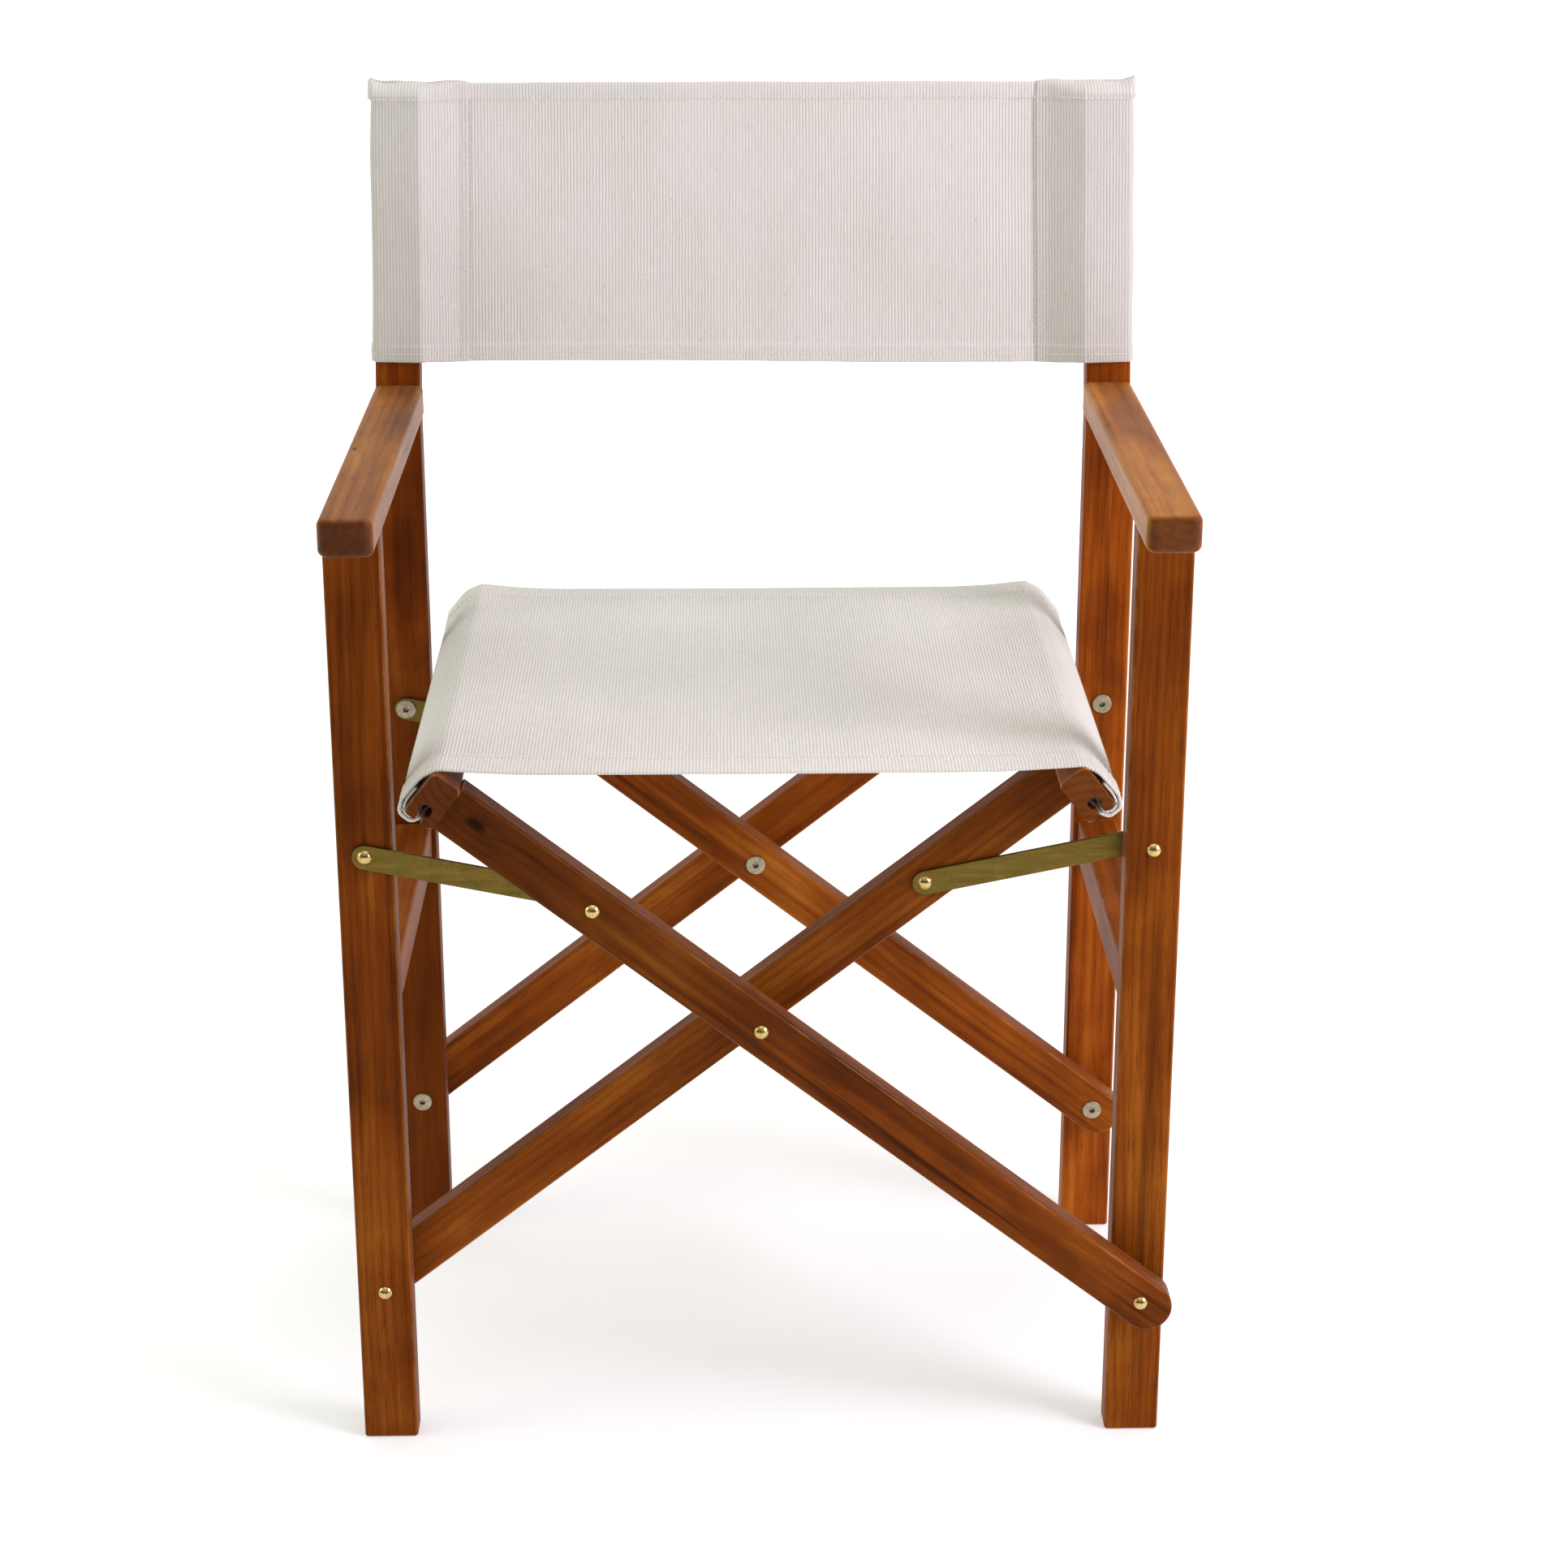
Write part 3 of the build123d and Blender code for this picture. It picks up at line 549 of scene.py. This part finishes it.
def thread_material():
    material, g, shader = new_material("thread")
    place = g.node("TexCoord").outputs["Object"]
    twist = g.noise(place, (1500, 1500, 1500), detail=2)
    colour = g.ramp(twist, [(0.3, rgb(214, 208, 196)), (0.7, rgb(240, 236, 226))])
    g.put(shader.inputs["Base Color"], colour)
    shader.inputs["Roughness"].default_value = 0.7
    g.put(shader.inputs["Normal"], g.bump(twist, 0.0001))
    return material


def rounded_path(points, radii, step):
    """Points along straight runs joined by arcs; one radius for each inner point."""
    points = [np.array(point, float) for point in points]
    made = [points[0]]
    for before, corner, after, radius in zip(points, points[1:], points[2:], radii):
        one = (before - corner) / np.linalg.norm(before - corner)
        two = (after - corner) / np.linalg.norm(after - corner)
        angle = math.acos(np.clip(one @ two, -1, 1))
        back = radius / math.tan(angle / 2)
        bisector = (one + two) / np.linalg.norm(one + two)
        centre = corner + bisector * radius / math.sin(angle / 2)
        start, end = corner + one * back, corner + two * back
        turns = max(3, int(radius * (math.pi - angle) / step))
        for share in np.linspace(0, 1, turns + 1):
            point = start * (1 - share) + end * share - centre
            made.append(centre + point / np.linalg.norm(point) * radius)
    made.append(points[-1])
    return np.array(made)


def resampled(path, longest):
    """The same line with no run longer than the given one."""
    made = [path[0]]
    for one, two in zip(path, path[1:]):
        run = np.linalg.norm(two - one)
        count = max(1, math.ceil(run / longest - 1e-9))
        for index in range(1, count + 1):
            made.append(one + (two - one) * index / count)
    return np.array(made)


def lengths(path):
    """Distance along a line to each of its points."""
    return np.concatenate([[0], np.cumsum(np.linalg.norm(np.diff(path, axis=0), axis=1))])


def side_normals(path):
    """Unit normals to the left of a flat line."""
    tangent = np.gradient(path, axis=0)
    tangent /= np.linalg.norm(tangent, axis=1)[:, None]
    return np.stack([-tangent[:, 1], tangent[:, 0]], axis=1)


def sheet_mesh(name, middle, normal, half, u, v):
    """Closed mesh of cloth from a grid of mid-surface points.

    middle and normal are (columns, rows, 3) and half is (columns, rows), the half thickness.
    u and v are metres across and along the ribs, for the weave.
    """
    columns, rows = half.shape
    outer = middle + normal * half[..., None]
    inner = middle - normal * half[..., None]
    vertices = np.concatenate([outer.reshape(-1, 3), inner.reshape(-1, 3)])
    below = columns * rows
    faces, corners = [], []

    def add(quad, places):
        faces.append(quad)
        corners.extend(places)

    for i in range(columns - 1):
        k = i + 1
        for j in range(rows - 1):
            places = [(u[i], v[j]), (u[i + 1], v[j]), (u[i + 1], v[j + 1]), (u[i], v[j + 1])]
            quad = [i * rows + j, k * rows + j, k * rows + j + 1, i * rows + j + 1]
            add(quad, places)
            add([below + index for index in reversed(quad)], places[::-1])
        for j, flip in ((0, True), (rows - 1, False)):
            quad = [i * rows + j, k * rows + j, below + k * rows + j, below + i * rows + j]
            places = [(u[i], v[j]), (u[i + 1], v[j]), (u[i + 1], v[j]), (u[i], v[j])]
            if flip:
                quad, places = quad[::-1], places[::-1]
            add(quad, places)
    for i, flip in ((0, False), (columns - 1, True)):
        for j in range(rows - 1):
            quad = [i * rows + j, i * rows + j + 1, below + i * rows + j + 1, below + i * rows + j]
            places = [(u[i], v[j]), (u[i], v[j + 1]), (u[i], v[j + 1]), (u[i], v[j])]
            if flip:
                quad, places = quad[::-1], places[::-1]
            add(quad, places)
    mesh = bpy.data.meshes.new(name)
    mesh.from_pydata(vertices.tolist(), [], faces)
    layer = mesh.uv_layers.new(name="cloth")
    layer.data.foreach_set("uv", np.array(corners, np.float32).ravel())
    mesh.polygons.foreach_set("use_smooth", [True] * len(mesh.polygons))
    mesh.validate()
    mesh.update()
    piece = bpy.data.objects.new(name, mesh)
    bpy.context.scene.collection.objects.link(piece)
    return piece


def edge_rows(length, hem, cloth, step):
    """Row places along a hemmed length, and the half thickness at each.

    The hem is two layers thick, a narrow dip with the stitches ends it, and the folded edge is round.
    """
    double = cloth * 1.05
    quarter = [double * (1 - math.cos(a)) for a in np.linspace(0.25, math.pi / 2, 5)]
    near = sorted(set(quarter + [hem * s for s in (0.3, 0.55, 0.78, 0.9, 0.96, 1.0, 1.05, 1.12, 1.3)]))
    between = np.linspace(near[-1], length - near[-1], max(2, int((length - 2 * near[-1]) / step)) + 1)
    places = np.array(near + list(between[1:-1]) + [length - value for value in reversed(near)])
    edge = np.minimum(places, length - places)
    doubled = 1 - smooth((edge - hem) / (0.12 * hem))
    half = cloth / 2 * (1 + doubled)
    rim = np.clip(edge / double, 0, 1)
    half = np.minimum(half, double * np.sqrt(np.clip(1 - (1 - rim) ** 2, 0.02, 1)))
    return places, half


def smooth(value):
    """Smooth step from 0 to 1 as the value goes from 0 to 1."""
    value = np.clip(value, 0, 1)
    return value * value * (3 - 2 * value)


def waves(a, b, count, longest, shortest, seed):
    """Smooth random relief of size about 1 over two coordinates."""
    source = np.random.default_rng(seed)
    total = np.zeros(np.broadcast(a, b).shape)
    for _ in range(count):
        size = source.uniform(shortest, longest)
        turn = source.uniform(0, math.pi)
        phase = source.uniform(0, 2 * math.pi)
        total += np.sin(2 * math.pi * (a * math.cos(turn) + b * math.sin(turn)) / size + phase)
    return total / math.sqrt(count)


def stitches(name, runs):
    """Rows of short thread loops. Each run is (points, outward normals) along a seam."""
    vertices, faces = [], []
    ring = [(math.cos(a), math.sin(a)) for a in np.linspace(0, 2 * math.pi, 6, endpoint=False)]
    profile = [(-0.5, 0.35, -0.3), (-0.36, 0.95, 0.35), (0.0, 1.0, 0.6),
               (0.36, 0.95, 0.35), (0.5, 0.35, -0.3)]
    for points, normals in runs:
        along = lengths(points)
        for start in np.arange(0.3 * STITCH_PITCH, along[-1] - STITCH, STITCH_PITCH):
            centre = start + STITCH / 2
            place = np.array([np.interp(centre, along, points[:, k]) for k in range(3)])
            ahead = np.array([np.interp(centre + 0.0005, along, points[:, k]) for k in range(3)])
            out = np.array([np.interp(centre, along, normals[:, k]) for k in range(3)])
            forward = (ahead - place) / np.linalg.norm(ahead - place)
            across = np.cross(forward, out)
            first = len(vertices)
            for shift, wide, lift in profile:
                middle = place + forward * shift * STITCH + out * lift * THREAD
                for c, s in ring:
                    vertices.append(middle + (across * c + out * s) * wide * THREAD)
            for level in range(len(profile) - 1):
                for k in range(6):
                    a, b = first + level * 6 + k, first + level * 6 + (k + 1) % 6
                    faces.append([a, b, b + 6, a + 6])
            faces.append([first + k for k in reversed(range(6))])
            faces.append([first + 6 * (len(profile) - 1) + k for k in range(6)])
    mesh = bpy.data.meshes.new(name)
    mesh.from_pydata([tuple(v) for v in vertices], [], faces)
    mesh.polygons.foreach_set("use_smooth", [True] * len(mesh.polygons))
    mesh.update()
    piece = bpy.data.objects.new(name, mesh)
    bpy.context.scene.collection.objects.link(piece)
    piece.data.materials.append(THREAD_MATERIAL)
    return piece


# ---- Seat ----

def rail_frame():
    """Middle of the right seat rail in the X-Z plane, and its outward and downward directions."""
    low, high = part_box("right_seat_rail")
    middle = (low + high) / 2
    outward = np.array([math.cos(BAR_ANGLE), math.sin(BAR_ANGLE)])
    down = np.array([math.sin(BAR_ANGLE), -math.cos(BAR_ANGLE)])
    return np.array([middle.x, middle.z]), outward, down


def seat_section():
    """The cloth's line in the X-Z plane, from its end inside the left wrap to that in the right.

    Also returns how far along its right half the line enters the rail's slot and leaves it.
    """
    middle, outward, down = rail_frame()
    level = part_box("seat_panel")[0].z + CLOTH / 2 + 0.1 * MM

    def at(u, v):
        return middle + outward * u * MM + down * v * MM

    # Local places in mm: u outwards from the rail's middle, v towards its lower side
    over_top = at(12.1, -15.6)
    free = [
        (0.0, level - SEAT_SAG),
        (0.15, level - 0.9 * SEAT_SAG),
        (over_top[0] - 3.5 * MM, level),
    ]
    outer_layer = [at(14.6, -7.0), at(15.2, 12.5), at(12.0, 20.9), at(2.2, 21.2)]
    round_rod = [
        at(-1.15, 16.0),
        at(-1.15, 12.6),
        at(-3.3, 7.4),
        at(0, 3.9),
        at(3.3, 7.4),
        at(1.15, 12.6),
        at(1.35, 16.0),
    ]
    inner_layer = [at(4.0, 18.55), at(9.8, 18.5), at(12.9, 13.0), at(12.4, 1.0)]
    points = free + outer_layer + round_rod + inner_layer
    radii = [0.45, 0.011, 0.02, 0.0075, 0.0055, 0.0042, 0.004, 0.003, 0.0028, 0.0028, 0.0028,
             0.003, 0.002, 0.0035, 0.005, 0.02]
    half = resampled(rounded_path(points, radii, ARC_STEP), 6 * MM)
    along = lengths(half)
    slot = [along[np.argmin(np.linalg.norm(half - at(u, 17.5), axis=1))] for u in (-1.3, 1.7)]
    mirrored = half[::-1] * np.array([-1, 1])
    return np.concatenate([mirrored[:-1], half]), slot[0], slot[1]


def make_seat():
    line, slot_in, slot_out = seat_section()
    along = lengths(line)
    along -= along[-1] / 2
    normal = -side_normals(line)
    if normal[len(normal) // 2][1] < 0:
        normal = -normal
    low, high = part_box("seat_panel")
    depth = high.y - low.y
    rows, half_rows = edge_rows(depth, SEAT_HEM, CLOTH, 0.008)
    s, t = np.meshgrid(along, rows, indexing="ij")

    # Free cloth may move a little; over the wraps it is held
    across = np.abs(line[:, 0])[:, None]
    free = smooth((RAIL_EDGE + 0.5 * MM - across) / REACH)
    edge = np.minimum(t, depth - t)
    trough = np.exp(-((edge - SEAT_HEM - 0.012) / 0.012) ** 2)
    calm = smooth(edge / 0.045)
    shift = free * 0.4 * MM * calm * waves(s, t, 7, 0.20, 0.07, 5)
    shift -= (0.4 + 0.6 * free) * 1.1 * MM * trough
    shift += free * 0.2 * MM * calm * waves(s, t * 0.2, 5, 0.05, 0.02, 8)
    top = across < RAIL_EDGE
    outer_wrap = smooth((0.275 - np.abs(s)) / 0.02)
    off_rail = smooth((RAIL_EDGE - 1.5 * MM - across) / REACH)
    shift -= off_rail * REAR_SAG * smooth(2 * t / depth - 1)
    shift = np.where(top, shift, -0.5 * MM * trough * outer_wrap)

    middle = np.zeros((*s.shape, 3))
    out = np.zeros_like(middle)
    middle[..., 0] = line[:, None, 0]
    # The loop round the rod is drawn back into the keyhole
    inside = smooth((np.abs(s) - slot_in - 0.002) / 0.005)
    inside = inside * smooth((slot_out - 0.002 - np.abs(s)) / 0.005)
    toward_end = np.clip(1 - edge / 0.05, 0, 1) * np.sign(depth / 2 - t)
    middle[..., 1] = low.y + t + LOOP_INSET * inside * toward_end
    middle[..., 2] = line[:, None, 1]
    out[..., 0] = normal[:, None, 0]
    out[..., 2] = normal[:, None, 1]
    half = np.repeat(half_rows[None, :], len(line), axis=0)
    # Two layers share the slot and the bore, so each is pressed thinner there
    pressed = smooth((np.abs(s) - slot_in + 0.004) / 0.006)
    half = half * (1 - 0.22 * pressed)
    middle += out * shift[..., None]
    seat = sheet_mesh("seat_canvas", middle, out, half, along, rows)
    seat.data.materials.append(SEAT_CANVAS)
    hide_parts("seat_panel", "left_seat_hem", "right_seat_hem")

    runs = []
    surface = middle + out * half[..., None]
    visible = np.abs(along) < 0.232
    for row_place in (SEAT_HEM * 0.94, depth - SEAT_HEM * 0.94):
        j = int(np.argmin(np.abs(rows - row_place)))
        runs.append((surface[visible, j], out[visible, j]))
    for hand in (-1, 1):
        i = int(np.argmin(np.abs(along - hand * 0.2335)))
        runs.append((surface[i, 4:-4], out[i, 4:-4]))
    thread = stitches("seat_stitching", runs)

    for piece in (seat, thread):
        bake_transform(piece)


# ---- Back ----

def lean(z):
    """How far inwards an upright has leaned at a height."""
    low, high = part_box("right_back_sleeve")
    return SLEEVE_LEAN * (z - low.z) / (high.z - low.z)


def sling_parts():
    """The right upright's inner, outer, front and back faces at the sling's foot, and the
    sling's lower and upper edge."""
    upright_low, upright_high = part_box("right_rear_leg")
    sleeve_low, sleeve_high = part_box("right_back_sleeve")
    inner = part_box("back_panel")[1].x + UPRIGHT_EASE
    outer = inner + UPRIGHT_WIDTH
    return inner, outer, upright_low.y, upright_high.y, sleeve_low.z, sleeve_high.z


def pocket_rows(low, wood_top, high, hem):
    """Rows up a sleeve and over the upright's top, where its two layers come together.

    Returns height, the share of the depth left, the turn over the top and the half thickness.
    """
    rows, half = edge_rows(high - low, hem, CLOTH, 0.006)
    start = wood_top - low - 0.6 * MM
    keep = rows < start - 0.3 * MM
    turn = np.linspace(0, math.pi / 2, 10)
    dome = high - CLOTH - wood_top + 0.6 * MM
    height = np.concatenate([low + rows[keep], low + start + dome * np.sin(turn)])
    depth = np.concatenate([np.ones(keep.sum()), np.cos(turn)])
    turns = np.concatenate([np.zeros(keep.sum()), turn])
    thick = np.concatenate([half[keep], np.full(len(turn), CLOTH * 0.95)])
    return height, depth, turns, thick, dome


def hem_drop(x, z, low, inner):
    """How far the back's lower edge hangs down, growing from the uprights to the seams."""
    drop = HEM_DROP * smooth((inner - np.abs(x)) / SEAM_GAP) + HEM_SKEW * smooth((x + 0.10) / 0.2)
    return drop * smooth((low + 0.04 - z) / 0.04)


def make_sleeve(side):
    hand = HAND[side]
    inner, outer, front, back, low, high = sling_parts()
    wood_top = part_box("right_rear_leg")[1].z
    middle_y = (front + back) / 2
    seam = inner - SEAM_GAP
    off = CLOTH / 2 + 0.4 * MM
    points = [
        (seam - SEAM_WIDTH, middle_y - FLAP_EDGE),
        (seam, middle_y - SEAM_HALF),
        (inner - off - 0.2 * MM, front - off - RIDGE),
        (outer + off, front - off - OUTER_EASE * 0.2),
        (outer + off + OUTER_EASE, (front + back) / 2),
        (outer + off, back + off),
        (inner - off, back + off + 0.8 * MM),
        (seam, middle_y + SEAM_HALF),
        (seam - SEAM_WIDTH, middle_y + FLAP_EDGE),
    ]
    radii = [0.02, 0.0032, 0.0045, 0.03, 0.0045, 0.0035, 0.02]
    line = resampled(rounded_path(points, radii, ARC_STEP), 3 * MM)
    line[:, 0] *= hand
    along = lengths(line)
    normal = side_normals(line)
    if (normal[np.argmax(np.abs(line[:, 0]))][0] * hand) < 0:
        normal = -normal
    height, depth, turn, half_rows, dome = pocket_rows(low, wood_top, high, SLING_HEM)
    s, t = np.meshgrid(along, height, indexing="ij")
    middle = np.zeros((*s.shape, 3))
    out = np.zeros_like(middle)
    # Over the top the section keeps its outline but loses its depth
    away = line[:, None, 1] - middle_y
    gap = SEAM_HALF * (1 - 0.93 * smooth(turn / (math.pi / 2)))[None, :]
    closed = np.minimum(np.abs(away), gap) + np.maximum(np.abs(away) - gap, 0) * depth
    middle[..., 0] = line[:, None, 0] - hand * lean(t)
    middle[..., 1] = middle_y + np.sign(away) * closed
    middle[..., 2] = t
    across = np.sin(turn)[None, :] * np.maximum(np.abs(away), 0.003)
    steep = np.arctan2(across, np.cos(turn)[None, :] * dome)
    out[..., 0] = normal[:, None, 0] * np.cos(steep)
    out[..., 1] = normal[:, None, 1] * np.cos(steep)
    out[..., 2] = np.sin(steep)
    flap = smooth((inner - 0.002 - np.abs(line[:, 0])) / 0.006)
    flap = flap * smooth((np.abs(line[:, 0]) - seam) / 0.006)
    swell = smooth((np.abs(line[:, 0]) - inner) / 0.004)
    hem_swell = smooth((t - (high - SLING_HEM)) / 0.002)
    corner = np.exp(-((np.abs(line[:, None, 0]) - outer - 0.002) / 0.005) ** 2)
    bunch = np.exp(-((np.abs(line[:, None, 0]) - seam - 0.004) / 0.012) ** 2)
    shift = flap[:, None] * 0.35 * MM * waves(s, t, 5, 0.09, 0.03, 21 + hand)
    puff = hem_swell * (0.6 + 0.9 * corner) * MM
    shift += swell[:, None] * (0.30 * MM * waves(s * 0.5, t, 5, 0.12, 0.05, 31 + hand) + puff)
    shift -= 0.35 * MM * np.exp(-((t - (high - SLING_HEM - 0.002)) / 0.002) ** 2)
    middle += out * shift[..., None]
    # The closed top rises and falls where the cloth bunches at the corners
    rise = 1.3 * MM * corner + 0.9 * MM * bunch + 0.35 * MM * waves(s, s * 0, 4, 0.04, 0.015, 41 + hand)
    middle[..., 2] += smooth((t - wood_top) / 0.006) * rise
    middle[..., 2] -= hem_drop(line[:, None, 0], t, low, inner)
    half = np.repeat(half_rows[None, :], len(line), axis=0)
    edge = np.minimum(along, along[-1] - along)
    half = half * (0.35 + 0.65 * smooth(edge / 0.0045))[:, None]
    name = side + "_back_sleeve_canvas"
    sleeve = sheet_mesh(name, middle, out, half, along, height)
    sleeve.data.materials.append(SHADED_SLEEVE_CANVAS)
    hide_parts(side + "_back_sleeve")

    surface = middle + out * half[..., None]
    runs = []
    for place in (seam - SEAM_WIDTH + 0.0012, seam - 0.0004):
        for part in (slice(0, len(line) // 2), slice(len(line) // 2, None)):
            i = int(np.argmin(np.abs(np.abs(line[part, 0]) - place))) + (part.start or 0)
            runs.append((surface[i, 3:-9], out[i, 3:-9]))
    for row_place in (high - SLING_HEM * 0.93, low + SLING_HEM * 0.5):
        j = int(np.argmin(np.abs(height - row_place)))
        keep = slice(3, -3)
        runs.append((surface[keep, j], out[keep, j]))
    thread = stitches(side + "_sleeve_stitching", runs)
    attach(sleeve, side + "_side")
    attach(thread, side + "_side")


def make_back_panel():
    """The panel's edges lie between the two layers of each flap, where they have room to move."""
    inner, _, front, back, low, high = sling_parts()
    middle_y = (front + back) / 2
    seam = inner - SEAM_GAP
    columns = 150
    rows, half_rows = edge_rows(high - low, SLING_HEM, CLOTH, 0.006)
    height = low + rows
    share = np.linspace(0, 1, columns)[:, None]
    left = -(seam + TUCK["left"] - lean(height))[None, :]
    right = (seam + TUCK["right"] - lean(height))[None, :]
    x = left + (right - left) * share
    t = np.broadcast_to(height, x.shape)
    middle = np.zeros((*x.shape, 3))
    out = np.zeros_like(middle)
    out[..., 1] = -1
    held = smooth((seam - 4 * MM - np.abs(x)) / REACH)
    shift = held * 0.75 * MM * waves(x, t, 7, 0.26, 0.10, 3)
    shift += held * 0.30 * MM * waves(x, t * 0.3, 5, 0.07, 0.03, 4)
    shift += 0.5 * MM * held * np.exp(-((t - high + 0.004) / 0.004) ** 2)
    shift -= 0.30 * MM * np.exp(-((t - (high - SLING_HEM - 0.002)) / 0.002) ** 2)
    middle[..., 0] = x
    middle[..., 1] = middle_y - shift
    near_top = smooth((t - (high - 0.025)) / 0.025)
    hidden = smooth((np.abs(x) - seam + 0.006) / 0.004)
    sink = 0.3 * MM + 2.2 * MM * hidden
    middle[..., 2] = t + near_top * (0.4 * MM * waves(x, t * 0, 4, 0.22, 0.09, 12) - sink)
    middle[..., 2] -= hem_drop(x, t, low, inner)
    half = np.repeat(half_rows[None, :], columns, axis=0)
    u = np.linspace(left.mean(), right.mean(), columns)
    panel = sheet_mesh("back_canvas", middle, out, half, u, height)
    panel.data.materials.append(BACK_CANVAS)
    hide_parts("back_panel")

    runs = []
    keep = (np.abs(x[:, 0]) < seam - SEAM_WIDTH)
    for sign in (1, -1):
        surface = middle + sign * out * half[..., None]
        for row_place in (rows[-1] - SLING_HEM * 0.93, SLING_HEM * 0.5):
            j = int(np.argmin(np.abs(rows - row_place)))
            runs.append((surface[keep, j], sign * out[keep, j]))
    thread = stitches("back_stitching", runs)
    for piece in (panel, thread):
        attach(piece, "left_side")
        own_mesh(piece)


# ---- Scene ----

make_camera()
make_studio()
paint_wood()
paint_metal()
THREAD_MATERIAL = thread_material()
SEAT_CANVAS = canvas_material("seat_canvas_weave", ((224, 221, 212), (233, 230, 223)))
BACK_CANVAS = canvas_material("back_canvas_weave", ((228, 223, 217), (236, 231, 227)))
# The sleeves' canvas is the back's canvas painted darker: painted shade
SHADED_SLEEVE_CANVAS = canvas_material("shaded_sleeve_canvas_weave", ((219, 214, 208), (227, 222, 217)), shade_where_backed=True)
make_seat()
for one_side in SIDES:
    make_sleeve(one_side)
make_back_panel()
